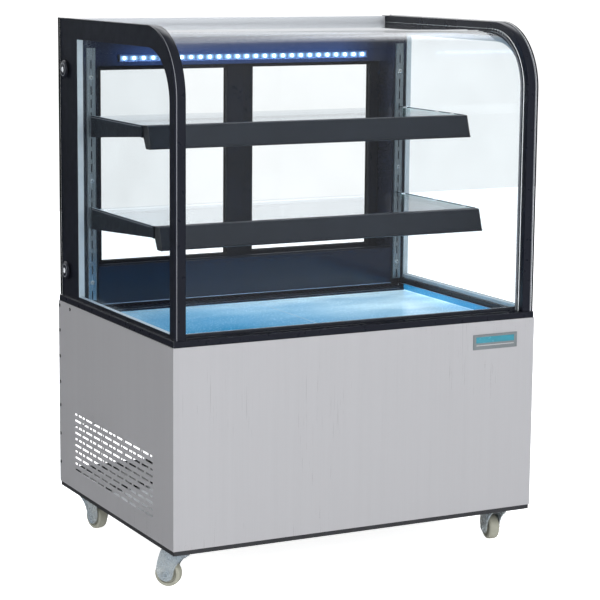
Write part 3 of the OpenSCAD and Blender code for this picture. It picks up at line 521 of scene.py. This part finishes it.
# polished edge line where the curved sheet meets the rims, pale partly as the glass edge and partly as a painted
# highlight, and its clear seal
d0 = 17.0
ring_x("front_edge_highlight", 420.9, 422.7, loop(-GF + d0 - 0.25, GR - 19, RIM + 1, TOP - d0 + 0.25, CR - d0 + 0.25),
       loop(-GF + d0 - 0.02, GR - 19, RIM + 1, TOP - d0 + 0.02, CR - d0 + 0.02), M_GLASS_EDGE_HIGHLIGHT, close=False)
ring_x("front_seal", 417.4, 422.6, loop(-GF + d0 + 6.05, GR - 19, RIM + 1, TOP - d0 - 6.05, CR - d0 - 6.05),
       loop(-GF + d0 + 7.2, GR - 19, RIM + 1, TOP - d0 - 7.2, CR - d0 - 7.2), M_SEAL, close=False)
# black band and bright line along the foot of the curved sheet
boxes("front_foot_band", [((-422.4, -310.8, RIM + 0.2), (422.4, -310.4, 566.6))], M_FRIT, bevel=0.1)
boxes("front_foot_line", [((-422.4, -310.85, 566.7), (422.4, -309.9, 568.1))], M_BRIGHT, bevel=0.2)
# bright mitre lines at the corners of the glass base frame
gb_lo, gb_hi = bx("glass_base_frame")
boxes("base_frame_mitres", [((s * gb_hi.x * 1.0 + s * 0.05 - (0.45 if s > 0 else -0.45), y, gb_lo.z + 0.8), (s * gb_hi.x + s * 0.12, y + t, gb_hi.z - 0.8))
                            for s in (-1, 1) for y, t in ((gb_lo.y + 0.5, 0.9), (gb_hi.y - 1.4, 0.9))], M_BRIGHT, bevel=0.1)
# slim bead between base frame and steel
boxes("cabinet_bead", [((-451.5, gb_lo.y + 0.6, 543.4), (451.5, gb_lo.y + 1.8, 544.6)), ((-451.5, gb_hi.y - 1.8, 543.4), (451.5, gb_hi.y - 0.6, 544.6))], M_GASKET, bevel=0.2)

# pale covers of the light rail at the top rear
boxes("light_rail_cover", [((-422.5, 317.3, 1191.7), (422.5, 334.4, 1212.4)), ((-422.5, 274.8, 1180.4), (422.5, 317.2, 1191.9))], M_RAIL, bevel=0.6)

# ring and centre screw on each glass fixing cap; the screw's pale colour is partly a painted highlight
for s in (-1, 1):
    side = "left" if s < 0 else "right"
    for k, z in enumerate((622, 1096)):
        bm = bmesh.new()
        add_lathe(bm, [(14.6 + 0.7 * math.cos(a), 3.95 + 0.5 * math.sin(a)) for a in [i * math.pi / 4 for i in range(8)]], (s, 0, 0), (s * GX, 295, z), 56)
        put(f"cap_ring_{side}_{k}", bm, M_SEAL, "root", 60)
        bm = bmesh.new()
        add_lathe(bm, [(0, 5.4), (4.2, 5.3), (6.2, 4.95), (7.2, 4.4), (7.2, 4.0), (0, 4.0)], (s, 0, 0), (s * GX, 295, z), 32)
        put(f"cap_stud_{side}_{k}", bm, M_STUD_HIGHLIGHT, "root", 40)

# ---------------------------------------------------------------- light strip
led_lo, led_hi = bx("led_strip")
zc = (led_lo.z + led_hi.z) / 2
PITCH = 24.5
boxes("led_board", [((-329.5, 247.9, zc - 5.4), (329.5, 248.9, zc + 5.4))], M_BOARD_PAINTED_GLOW, bevel=0.1)
bm = bmesh.new()
for i in range(27):
    x = (i - 13) * PITCH
    add_box(bm, (x - 3.2, 246.6, zc - 2.6), (x + 3.2, 247.9, zc + 2.6), 0.35, 2)
put("led_chips", bm, M_LED, "root", 30)
bm = bmesh.new()
for i in range(27):
    x = (i - 13) * PITCH
    add_lathe(bm, [(0, 1.9), (2.2, 1.6), (3.6, 0.9), (4.2, 0.0), (3.4, -0.5), (0, -0.5)], (0, -1, 0), (x, 246.2, zc), 20)
put("led_lenses", bm, M_LENS, "root", 60)
boxes("led_end_caps", [((-333.2, 244.6, zc - 8.3), (-330.2, 255.0, zc + 8.3)), ((330.2, 244.6, zc - 8.3), (333.2, 255.0, zc + 8.3))], MAT["black_plastic"], bevel=0.6)

# ------------------------------------------------------------ slotted uprights
up_lo, up_hi = bx("shelf_uprights")
bm = bmesh.new()
bm2 = bmesh.new()
for s in (-1, 1):
    for z in (600, 840, 1080):
        add_lathe(bm, [(0, 2.3), (2.4, 2.15), (4.4, 1.55), (5.4, 0.5), (5.5, 0.0), (0, 0.0)], (0, -1, 0), (s * 412.5, up_lo.y, z), 28)
        a = 0.5 + z
        for k in (0, 1):
            ca, sa = math.cos(a + k * math.pi / 2), math.sin(a + k * math.pi / 2)
            vs = []
            for (u, w) in ((-2.6, -0.5), (2.6, -0.5), (2.6, 0.5), (-2.6, 0.5)):
                vs.append((s * 412.5 + u * ca - w * sa, z + u * sa + w * ca))
            lo = [bm2.verts.new((x * MM, (up_lo.y - 2.36) * MM, zz * MM)) for x, zz in vs]
            hi = [bm2.verts.new((x * MM, (up_lo.y - 2.0) * MM, zz * MM)) for x, zz in vs]
            bm2.faces.new(lo)
            bm2.faces.new(hi[::-1])
            for i in range(4):
                j = (i + 1) % 4
                bm2.faces.new((lo[i], lo[j], hi[j], hi[i]))
put("upright_screws", bm, MAT["zinc"], "root", 40)
# the cross recesses are thin dark slabs: painted shade in the recesses
put("upright_screw_recess_shade", bm2, M_GASKET, "root")
# rolled lips down both edges of each upright
bm = bmesh.new()
for s in (-1, 1):
    for x in (402.6, 421.6):
        add_lathe(bm, [(0, 0), (0.9, 0), (0.9, 588), (0, 588)], (0, 0, 1), (s * x, up_lo.y - 0.15, 559.5), 12)
put("upright_lips", bm, MAT["slotted_steel"], "root", 60)

# --------------------------------------------------------------------- shelves
SH = ((992.0, 100.0, "upper"), (777.0, 161.0, "lower"))
for top, dy, nm in SH:
    # green edge of each shelf glass, with a faint painted glow
    boxes(f"shelf_edge_{nm}", [((-410.7, -dy + 22.75, top - 5.7), (410.7, -dy + 23.0, top - 0.3)),
                               ((-411.1, -dy + 24, top - 5.7), (-410.92, 204.8, top - 0.3)), ((410.92, -dy + 24, top - 5.7), (411.1, 204.8, top - 0.3))], M_GLASS_EDGE_GLOW, bevel=0.06)
    # pale strip along the top of the pressed brackets: a painted highlight on the arris
    boxes(f"bracket_arris_highlight_{nm}", [((s * 411.2 if s > 0 else -413.8, -dy + 25, top + 0.9), (s * 413.8 if s > 0 else -411.2, 221.2, top + 1.25)) for s in (-1, 1)], M_SPACER, bevel=0.1)
    # hook plate that joins each bracket's nose to the front profile
    boxes(f"bracket_nose_{nm}", [((s * 409.7, -dy + 21.5, top - 26.5), (s * 413.6, -dy + 27.5, top + 0.85)) for s in (-1, 1)], MAT["dark_bracket"], bevel=0.4)
    boxes(f"bracket_line_{nm}", [((s * 413.78, -dy + 27, top - 3.6), (s * 414.2, 219, top - 1.9)) for s in (-1, 1)], M_SEAL, bevel=0.15)
    # end caps of the front profile
    for s in (-1, 1):
        side = "left" if s < 0 else "right"
        bm = bmesh.new()
        prof = [(-0.3, 0.2), (3.5, 1.1), (22.2, 1.1), (22.3, -7.5), (23.9, -8.6), (23.9, -25), (10.2, -50.3), (-14.1, -50.3), (-17.3, -48.6), (-17.3, -46.3), (-14.2, -45.8)]
        a = [bm.verts.new((s * 408.0 * MM, (-dy + u) * MM, (top + v) * MM)) for u, v in prof]
        b = [bm.verts.new((s * 409.6 * MM, (-dy + u) * MM, (top + v) * MM)) for u, v in prof]
        bm.faces.new(a)
        bm.faces.new(b[::-1])
        for i in range(len(prof)):
            j = (i + 1) % len(prof)
            bm.faces.new((a[i], a[j], b[j], b[i]))
        bmesh.ops.bevel(bm, geom=[e for e in bm.edges if abs(e.verts[0].co.x - e.verts[1].co.x) < 1e-7 and abs(e.verts[0].co.x) > 0.4090], offset=0.0004, segments=2, affect="EDGES")
        put(f"profile_cap_{nm}_{side}", bm, MAT["black_plastic"], "root", 40)
    # white plastic buffers that hold the glass on the brackets
    bm = bmesh.new()
    for s in (-1, 1):
        for y in (-dy + 60, 30, 180):
            add_lathe(bm, [(0, 1.0), (4.2, 0.9), (5.0, 0.3), (5.0, -0.25), (0, -0.25)], (0, 0, 1), (s * 404.5, y, top + 0.25), 20)
    put(f"shelf_buffers_{nm}", bm, MAT["white_plastic"], "root", 50)

# ------------------------------------------------------------------------ deck
dk_lo, dk_hi = bx("deck_tray")
# lines on the deck rim and the riser hem: painted highlights of those edges
boxes("deck_rim_highlight", [((-420.2, -304.6, dk_hi.z - 0.1), (420.2, -303.4, dk_hi.z + 0.9)),
                        ((-420.9, -303, dk_hi.z - 0.1), (-419.8, 199, dk_hi.z + 0.9)), ((419.8, -303, dk_hi.z - 0.1), (420.9, 199, dk_hi.z + 0.9))], M_RIM_HIGHLIGHT, bevel=0.3)
boxes("riser_hem_highlight", [((-395.4, 220.4, 546.3), (395.4, 221.3, 548.2))], M_RIM_HIGHLIGHT, bevel=0.25)
# black outlet grid over the slot behind the deck, with its end walls; its near-black also paints the shade in the slot
slot = [((-420.5, 200.3, 536.2), (420.5, 201.6, 541.0)), ((-420.5, 226.6, 531.0), (420.5, 228.4, 544.0))]
slot += [((-420.5 + 12.02 * i, 201.4, 538.6), (-412.2 + 12.02 * i, 226.8, 539.6)) for i in range(70)]
slot += [((-420.5, 201.4, 537.4), (420.5, 203.2, 538.8)), ((-420.5, 213.0, 537.4), (420.5, 214.6, 538.8)), ((-424.4, 200.5, 531.0), (-422.6, 228.4, 544.0)), ((422.6, 200.5, 531.0), (424.4, 228.4, 544.0))]
boxes("outlet_grid_and_shade", slot, M_FRIT, bevel=0.2, segs=1)
# pressed lip over the rear fold of the deck
boxes("deck_rear_lip", [((-420.6, 198.2, 530.2), (420.6, 198.9, 535.2))], MAT["black_gloss"], bevel=0.15)
# slim upstand that seals the duct cover to the door sill
boxes("sill_upstand", [((-394.5, 226.2, 636.1), (394.5, 228.2, 641.4))], M_FRIT, bevel=0.6)
# return-air slots along the front of the deck
# the openings are thin dark slabs: painted shade in the slots
bm = bmesh.new()
for i in range(54):
    x = -399.5 + i * 15.07
    add_box(bm, (x - 5.0, -298, 529.9), (x + 5.0, -294, 530.25), 0.1, 1)
    add_box(bm, (x - 5.0, -290, 529.9), (x + 5.0, -286, 530.25), 0.1, 1)
put("deck_return_slot_shade", bm, M_GASKET, "root", 30)
boxes("deck_fold_lines", [((-412, -281.2, 529.9), (412, -280.2, 530.35)), ((-412, 176.2, 529.9), (412, 177.4, 530.35)),
                          ((-0.6, -280, 529.9), (0.6, 176, 530.3))], M_SPACER, bevel=0.15)
# louvres in the glossy duct cover
bm = bmesh.new()
for i in range(20):
    x = -361 + i * 38
    add_box(bm, (x - 13, 225.2, 626.2), (x + 13, 226.2, 629.2), 0.4, 2)
put("riser_louvres", bm, MAT["black_gloss"], "root", 30)

# ------------------------------------------------------------------------ doors
for nm, s, y in (("door_left", -1, 283.0), ("door_right", 1, 305.0)):
    # wedge gasket round both faces of the pane
    x0, x1, z0, z1 = 38.3, 370.2, 638.8, 1096.7
    for face, yy in (("in", y - 7.6), ("out", y + 3.05)):
        bm = bmesh.new()
        for a, b in (((x0, z0), (x0 + 3.4, z1)), ((x1 - 3.4, z0), (x1, z1)), ((x0 + 3.4, z0), (x1 - 3.4, z0 + 3.4)), ((x0 + 3.4, z1 - 3.4), (x1 - 3.4, z1))):
            add_box(bm, (s * a[0], yy, a[1]), (s * b[0], yy + 4.5, b[1]), 0.9, 2)
        put(f"{nm}_gasket_{face}", bm, M_GASKET, nm, 40)
    # lined finger pull with a slim lip
    gx0, gx1 = 376.0, 389.0
    bm = bmesh.new()
    add_box(bm, (s * gx0, y - 2.6, 801), (s * gx1, y - 2.1, 919), 0.2, 1)
    for a, b in (((gx0 - 1.6, 798.4), (gx0 + 0.2, 921.6)), ((gx1 - 0.2, 798.4), (gx1 + 1.6, 921.6)), ((gx0, 798.4), (gx1, 800.4)), ((gx0, 919.6), (gx1, 921.6))):
        add_box(bm, (s * a[0], y + 7.4, a[1]), (s * b[0], y + 8.9, b[1]), 0.5, 2)
    put(f"{nm}_pull_lining", bm, M_LABEL, nm, 40)
    # brush strip along the meeting stile, inside the stile's own depth
    bm = bmesh.new()
    for k in range(124):
        z = 616 + k * 4.0
        add_box(bm, (s * -6.35, y - 1.4, z), (s * -5.9, y + 1.4, z + 3.1), 0, 1)
    put(f"{nm}_brush", bm, M_GASKET, nm)
    # corner joint lines of the frame on its rear face
    boxes(f"{nm}_joints", [((s * 37.6, y + 7.9, 613.7), (s * 38.0, y + 8.1, 638.3)), ((s * 37.6, y + 7.9, 1097.2), (s * 38.0, y + 8.1, 1109.8)),
                           ((s * 370.6, y + 7.9, 613.7), (s * 371.0, y + 8.1, 638.3)), ((s * 370.6, y + 7.9, 1097.2), (s * 371.0, y + 8.1, 1109.8))], M_SPACER, nm, bevel=0.05)

# ------------------------------------------------------------------ cabinet
pf_lo, pf_hi = bx("front_panel")
bd_lo, bd_hi = bx("badge_plate")
# badge: raised border and blank enamel field, no lettering
boxes("badge_border", [((bd_lo.x + 0.6, bd_lo.y - 0.25, bd_lo.z + 0.6), (bd_hi.x - 0.6, bd_lo.y + 0.2, bd_lo.z + 2.2)),
                       ((bd_lo.x + 0.6, bd_lo.y - 0.25, bd_hi.z - 2.2), (bd_hi.x - 0.6, bd_lo.y + 0.2, bd_hi.z - 0.6)),
                       ((bd_lo.x + 0.6, bd_lo.y - 0.25, bd_lo.z + 2.2), (bd_lo.x + 2.2, bd_lo.y + 0.2, bd_hi.z - 2.2)),
                       ((bd_hi.x - 2.2, bd_lo.y - 0.25, bd_lo.z + 2.2), (bd_hi.x - 0.6, bd_lo.y + 0.2, bd_hi.z - 2.2))], MAT["badge"], bevel=0.2)
boxes("badge_field", [((bd_lo.x + 8, bd_lo.y - 0.12, bd_lo.z + 15.0), (bd_hi.x - 8, bd_lo.y + 0.1, bd_hi.z - 6))], M_TEAL, bevel=0.1)
boxes("badge_rule", [((bd_lo.x + 9, bd_lo.y - 0.12, bd_lo.z + 8.6), (bd_hi.x - 9, bd_lo.y + 0.1, bd_lo.z + 10.4))], M_LABEL, bevel=0.1)
# cross recesses of the panel screws
bm = bmesh.new()
for s in (-1, 1):
    for y, z in [(329, z) for z in (150, 220, 290, 347, 410, 473, 533)] + [(262, 533)]:
        a = 0.3 * z
        for k in (0, 1):
            ca, sa = math.cos(a + k * math.pi / 2), math.sin(a + k * math.pi / 2)
            q = [(y + u * ca - w * sa, z + u * sa + w * ca) for u, w in ((-2.2, -0.4), (2.2, -0.4), (2.2, 0.4), (-2.2, 0.4))]
            lo = [bm.verts.new((s * 455.02 * MM, yy * MM, zz * MM)) for yy, zz in q]
            hi = [bm.verts.new((s * 455.12 * MM, yy * MM, zz * MM)) for yy, zz in q]
            bm.faces.new(lo)
            bm.faces.new(hi[::-1])
            for i in range(4):
                j = (i + 1) % 4
                bm.faces.new((lo[i], lo[j], hi[j], hi[i]))
put("screw_recesses", bm, MAT["zinc"], "root", 0)
# folded lower hem of the steel panels
bm = bmesh.new()
hem = [((-453.2, -336.55, 101.2), (453.2, -335.4, 103.4)), ((-454.1, -335.6, 101.2), (-452.9, 335.0, 103.4)), ((452.9, -335.6, 101.2), (454.1, 335.0, 103.4)), ((-453.2, 335.4, 101.2), (453.2, 336.55, 103.4))]
for a, b in hem:
    add_box(bm, a, b, 0.5, 2)
put("panel_hems", bm, MAT["stainless"], "root", 40)

# --------------------------------------------------------------------- castors
for key, x, y, h in (("fl", -405, -270, 136), ("fr", 405, -270, 80), ("rl", -405, 270, 284), ("rr", 405, 270, 205)):
    a = math.radians(h)
    dx, dy = math.cos(a), math.sin(a)
    ax = Vector((-dy, dx, 0))
    wc = Vector((x + 30 * dx, y + 30 * dy, 29))
    sw, ro = "castor_swivel_" + key, "castor_roller_" + key
    # pressed race cup on the fork crown and its dust ring
    lathe(f"race_cup_{key}", [(17.2, 83.9), (21.6, 83.9), (22.6, 83.2), (23.1, 81.6), (23.1, 80.2), (20.5, 79.9), (17.2, 79.9)], (0, 0, 1), [(x, y, 0)], MAT["zinc"], sw, 48)
    # king nut under the crown
    bm = bmesh.new()
    add_lathe(bm, [(0, 76.2), (7.6, 76.2), (8.4, 75.2), (8.4, 71.6), (7.6, 70.8), (0, 70.8)], (0, 0, 1), (x, y, 0), 6)
    put(f"king_nut_{key}", bm, M_CHROME, "root", 25)
    # washers under the axle bolt's head and nut
    lathe(f"axle_washers_{key}", [(4.3, 17.05), (9.2, 17.05), (9.4, 17.5), (9.4, 18.0), (9.0, 18.3), (4.3, 18.3)], tuple(ax), [tuple(wc)], MAT["zinc"], sw, 32)
    lathe(f"axle_washer_b_{key}", [(4.3, 17.05), (9.2, 17.05), (9.4, 17.5), (9.4, 18.0), (9.0, 18.3), (4.3, 18.3)], tuple(-ax), [tuple(wc)], MAT["zinc"], sw, 32)
    # folded stiffening rib down each cheek
    bm = bmesh.new()
    for s in (-1, 1):
        pts = [(-18, 74), (-4, 65), (8, 54), (14, 42), (17, 30)]
        for (u0, z0), (u1, z1) in zip(pts, pts[1:]):
            for t in range(5):
                f0 = t / 5
                u, z = u0 + (u1 - u0) * f0, z0 + (z1 - z0) * f0
                c = Vector((x + u * dx, y + u * dy, z)) + ax * s * 16.9
                bmesh.ops.create_icosphere(bm, subdivisions=1, radius=1.5 * MM, matrix=Matrix.Translation(c * MM))
    put(f"fork_ribs_{key}", bm, MAT["zinc"], sw, 60)
    # moulded hub ribs and bearing bush of the wheel
    bm = bmesh.new()
    for s in (-1, 1):
        add_lathe(bm, [(9.05, s * 9.0), (10.4, s * 9.0), (10.4, s * 12.6), (9.6, s * 13.5), (9.05, s * 13.5)][:: (1 if s > 0 else -1)], tuple(ax), tuple(wc), 32)
        add_lathe(bm, [(17.6, s * 8.9), (18.8, s * 8.9), (18.8, s * 10.4), (17.6, s * 10.4)][:: (1 if s > 0 else -1)], tuple(ax), tuple(wc), 40)
    put(f"wheel_hub_{key}", bm, MAT["nylon"], ro, 40)
    bm = bmesh.new()
    add_lathe(bm, [(28.95, -0.35), (29.02, 0.0), (28.95, 0.35), (28.6, 0.35), (28.6, -0.35)], tuple(ax), tuple(wc), 64)
    put(f"wheel_part_line_{key}", bm, MAT["nylon"], ro, 40)

# --------------------------------------------------------- machine compartment
# compressor: weld seam, terminal lid, process tube and wiring
cx, cy = 120, -110
lathe("compressor_seam", [(79.0, 207.2), (80.0, 207.2), (80.4, 208.5), (80.0, 209.8), (79.0, 209.8)], (0, 0, 1), [(cx, cy, 0)], MAT["black_enamel"], "root", 72)
boxes("compressor_lid", [((cx + 97.9, cy - 23, 181), (cx + 100.4, cy + 23, 229))], MAT["black_plastic"], bevel=1.2, segs=3)
lathe("process_tube", [(0, 0), (3, 0), (3, 46), (2.2, 50), (0, 50.5)], (-0.5, -0.7, 0.5), [(cx - 52, cy - 42, 190)], MAT["copper"], "root", 20)
for k, (mm, off) in enumerate(((M_WIRE_A, 0), (M_WIRE_B, 7))):
    tube(f"compressor_wire_{k}", smooth_path([(cx + 92, cy + 8 + off, 178), (cx + 94, cy + 30 + off, 150), (cx + 110, cy + 90 + off, 126), (240, 60 + off, 124.5), (262 + off, 140, 124.5), (262 + off, 186, 150)]), 1.9, mm)
# fan guard over the shroud opening
bm = bmesh.new()
for r in (30, 52, 74, 96, 114):
    add_lathe(bm, ring_prof(r, 0.9, 8), (1, 0, 0), (304.2, 0, 245), 56)
put("fan_guard_rings", bm, MAT["black_wire"], "root", 60)
bm = bmesh.new()
for k in range(8):
    a = k * math.pi / 4 + 0.39
    add_lathe(bm, [(0, 29), (1.1, 29), (1.1, 118), (0, 118)], (0, math.cos(a), math.sin(a)), (303.4, 0, 245), 8)
put("fan_guard_spokes", bm, MAT["black_wire"], "root", 60)
# fin edges standing out of the condenser block
cc_lo, cc_hi = bx("condenser_coil")
bm = bmesh.new()
for k in range(8):
    z0 = 126 + k * 30
    for i in range(62):
        yy = -137 + i * 4.5
        add_box(bm, (cc_lo.x + 1.2, yy, z0 + 0.3), (cc_hi.x - 1.2, yy + 0.5, z0 + 21.7), 0, 1)
put("condenser_fins", bm, MAT["fan_aluminium"], "root", 0)
# electrical box: lid screws and mains lead inside the bay
eb_lo, eb_hi = bx("electrical_box")
bm = bmesh.new()
for x in (eb_lo.x + 8, eb_hi.x - 8):
    for y in (eb_lo.y + 8, eb_hi.y - 8):
        add_lathe(bm, [(0, 2.0), (2.6, 1.7), (3.6, 0.6), (3.6, 0), (0, 0)], (0, 0, 1), (x, y, eb_hi.z), 20)
put("electrical_box_screws", bm, MAT["zinc"], "root", 40)
tube("inner_lead", smooth_path([(380, 316, 366), (380, 306, 364), (376, 296, 345), (366, 290, 300), (356, 285, 262), (345, 280, 226), (331, 275, 204)]), 3.9, MAT["rubber"])
# foam sleeve on the suction line
tube("suction_sleeve", [(60, 140, 387), (330, 140, 387)], 7.6, M_FOAM, n=20)
tube("suction_sleeve_b", [(30, 118, 387), (30, -88, 387)], 7.6, M_FOAM, n=20)
lathe("drier_ends", [(3.1, 0), (6.5, 3), (10.1, 9), (10.3, 11), (9.4, 11), (3.1, 2)], (0, 0, 1), [(372, -170, 209)], MAT["copper"], "root", 32)
# a blank plate on the base
boxes("bay_data_plate", [((-140, 322.6, 120), (-60, 323.4, 128))], M_LABEL, bevel=0.3)

# ---------------------------------------------------------------- rear controls
tc_lo, tc_hi = bx("temperature_controller")
yb = tc_hi.y
boxes("controller_window", [((-298, yb - 0.1, 354.5), (-262, yb + 0.22, 378))], M_DISPLAY, bevel=0.2)
boxes("controller_keys", [((x, yb - 0.1, z), (x + 8.5, yb + 0.45, z + 6.5)) for x in (-254, -242.5) for z in (356.5, 368.5)], M_BUTTON, bevel=0.4)


def seg_digit(x0, z0, w, hgt, t, on):
    """Seven plain bars: a generic numeral on the readout."""
    m = z0 + hgt / 2
    spec = {"a": ((x0 + t, z0 + hgt - t), (x0 + w - t, z0 + hgt)), "g": ((x0 + t, m - t / 2), (x0 + w - t, m + t / 2)), "d": ((x0 + t, z0), (x0 + w - t, z0 + t)),
            "f": ((x0, m), (x0 + t, z0 + hgt)), "b": ((x0 + w - t, m), (x0 + w, z0 + hgt)), "e": ((x0, z0), (x0 + t, m)), "c": ((x0 + w - t, z0), (x0 + w, m))}
    return [((spec[k][0][0], yb + 0.2, spec[k][0][1]), (spec[k][1][0], yb + 0.34, spec[k][1][1])) for k in on]


boxes("controller_digits", seg_digit(-289, 359.5, 8, 13.5, 1.5, "bcfg") + seg_digit(-277, 359.5, 8, 13.5, 1.5, "abcdef"), M_DIGIT, bevel=0.1)
lathe("gland_ring", [(8.6, 0), (11.6, 0), (12.0, 0.5), (11.6, 0.9), (8.6, 0.9)], (0, 1, 0), [(380, 336.5, 366)], MAT["black_plastic"], "root", 40)

# ------------------------------------------------------------------ stage
def plane(name, size, z, mat):
    bm = bmesh.new()
    bmesh.ops.create_grid(bm, x_segments=1, y_segments=1, size=size)
    me = bpy.data.meshes.new(name)
    bm.to_mesh(me)
    bm.free()
    o = bpy.data.objects.new(name, me)
    o.location = (0, 0, z)
    scene.collection.objects.link(o)
    me.materials.append(mat)
    return o


m, nt, out = start("m_floor")
nv = noise(nt, coords(nt), 1.4, 2)
p = node(nt, "ShaderNodeBsdfPrincipled", {"Base Color": mixc(nt, nv, (0.86, 0.86, 0.865, 1), (0.88, 0.88, 0.885, 1)), "Roughness": span(nt, nv, 0.55, 0.65),
         "Emission Color": (1, 1, 1, 1), "Emission Strength": 0.84})
nt.links.new(p.outputs[0], out.inputs["Surface"])
floor = plane("studio_floor", 6.0, 0.0, m)
floor.visible_glossy = False

w = bpy.data.worlds.new("studio")
scene.world = w
w.use_nodes = True
nt = w.node_tree
nt.nodes.clear()
wo = node(nt, "ShaderNodeOutputWorld")
lp = node(nt, "ShaderNodeLightPath")
tcw = node(nt, "ShaderNodeTexCoord")
sp = node(nt, "ShaderNodeSeparateXYZ", {"Vector": tcw.outputs["Generated"]})
upz = span(nt, sp.outputs["Z"], 0.035, 0.30, 0.1, 0.9)
frn = span(nt, sp.outputs["Y"], 0.36, 0.0, -0.95, 0.1)
hzn = span(nt, sp.outputs["Z"], 0.0, 1.0, -0.02, 0.03)
rer = span(nt, sp.outputs["Y"], 0.0, 0.90, 0.15, 0.6)
bks = node(nt, "ShaderNodeMath", {0: hzn, 1: rer}, operation="MULTIPLY")
upb = node(nt, "ShaderNodeMath", {0: upz, 1: bks.outputs[0]}, operation="MAXIMUM")
ovy = span(nt, sp.outputs["Y"], 0.0, 2.3, 0.34, 0.58)
ovz = span(nt, sp.outputs["Z"], 0.0, 1.0, 0.18, 0.5)
ovh = node(nt, "ShaderNodeMath", {0: ovy, 1: ovz}, operation="MULTIPLY")
sky = node(nt, "ShaderNodeMath", {0: upb.outputs[0], 1: ovh.outputs[0]}, operation="MAXIMUM")
tot = node(nt, "ShaderNodeMath", {0: sky.outputs[0], 1: frn}, operation="ADD")
dim = node(nt, "ShaderNodeBackground", {"Color": (0.95, 0.97, 1.0, 1), "Strength": tot.outputs[0]})
white = node(nt, "ShaderNodeBackground", {"Color": (1, 1, 1, 1), "Strength": 1.12})
mxw = node(nt, "ShaderNodeMixShader", {0: lp.outputs["Is Camera Ray"], 1: dim.outputs[0], 2: white.outputs[0]})
nt.links.new(mxw.outputs[0], wo.inputs["Surface"])


def area(name, loc, target, size, power, color=(1, 1, 1), glossy=True, camera=False):
    ld = bpy.data.lights.new(name, "AREA")
    ld.shape = "RECTANGLE"
    ld.size, ld.size_y = size
    ld.energy = power
    ld.color = color
    o = bpy.data.objects.new(name, ld)
    o.location = loc
    o.rotation_mode = "QUATERNION"
    o.rotation_quaternion = (Vector(target) - Vector(loc)).to_track_quat("-Z", "Y")
    o.visible_camera = camera
    o.visible_glossy = glossy
    scene.collection.objects.link(o)
    return o


area("key_front", (1.6, -4.2, 2.6), (0, 0, 0.6), (2.6, 2.2), 56, glossy=False)
area("top_soft", (0.0, -0.4, 3.6), (0, 0, 0.6), (3.0, 2.6), 42, glossy=False)
area("fill_left", (-3.6, -0.8, 1.6), (0, 0, 0.5), (1.6, 1.6), 14)
area("front_wash", (0.4, -4.6, 2.0), (0, 0, 0.5), (3.6, 2.4), 168, glossy=False)
area("left_wash", (-3.8, -1.6, 1.9), (0, 0, 0.5), (2.0, 2.0), 46, glossy=False)
area("back_soft", (-1.2, 3.8, 2.2), (0, 0, 0.7), (2.6, 1.8), 24, glossy=False)
# the unit's own light: the strip, and the cold wash on the deck
area("led_light", (0, 0.2425, 1.1215), (0, 0.05, 0.95), (0.66, 0.008), 2.2, (0.62, 0.80, 1.0), glossy=False)
area("deck_wash", (0, 0.12, 0.92), (0, -0.03, 0.53), (0.74, 0.10), 0.6, (0.35, 0.62, 1.0), glossy=False)

# ------------------------------------------------------------------ camera
cam_d = bpy.data.cameras.new("camera")
cam = bpy.data.objects.new("camera", cam_d)
scene.collection.objects.link(cam)
yaw, pitch, roll = math.radians(26.755), math.radians(-9.051), math.radians(0.386)
fwd = Vector((math.sin(yaw), math.cos(yaw), 0))
right = Vector((math.cos(yaw), -math.sin(yaw), 0))
up = Vector((0, 0, 1))
f2 = fwd * math.cos(pitch) + up * math.sin(pitch)
u2 = -fwd * math.sin(pitch) + up * math.cos(pitch)
r3 = right * math.cos(roll) + u2 * math.sin(roll)
u3 = -right * math.sin(roll) + u2 * math.cos(roll)
rot = Matrix((r3, u3, -f2)).transposed()
cam.matrix_world = Matrix.Translation((-2.169, -4.1877, 1.3626)) @ rot.to_4x4()
cam_d.sensor_width = 36.0
cam_d.lens = 36.0 * 2040 / 600
cam_d.shift_x = 0.05
cam_d.shift_y = -0.0333
cam_d.clip_start, cam_d.clip_end = 0.05, 60
scene.camera = cam

scene.view_settings.view_transform = "Standard"
scene.view_settings.look = "None"
scene.cycles.max_bounces = 14
scene.cycles.transparent_max_bounces = 40
scene.cycles.glossy_bounces = 6
scene.cycles.sample_clamp_indirect = 6.0
scene.cycles.caustics_reflective = False
scene.cycles.caustics_refractive = False

bpy.context.view_layer.update()
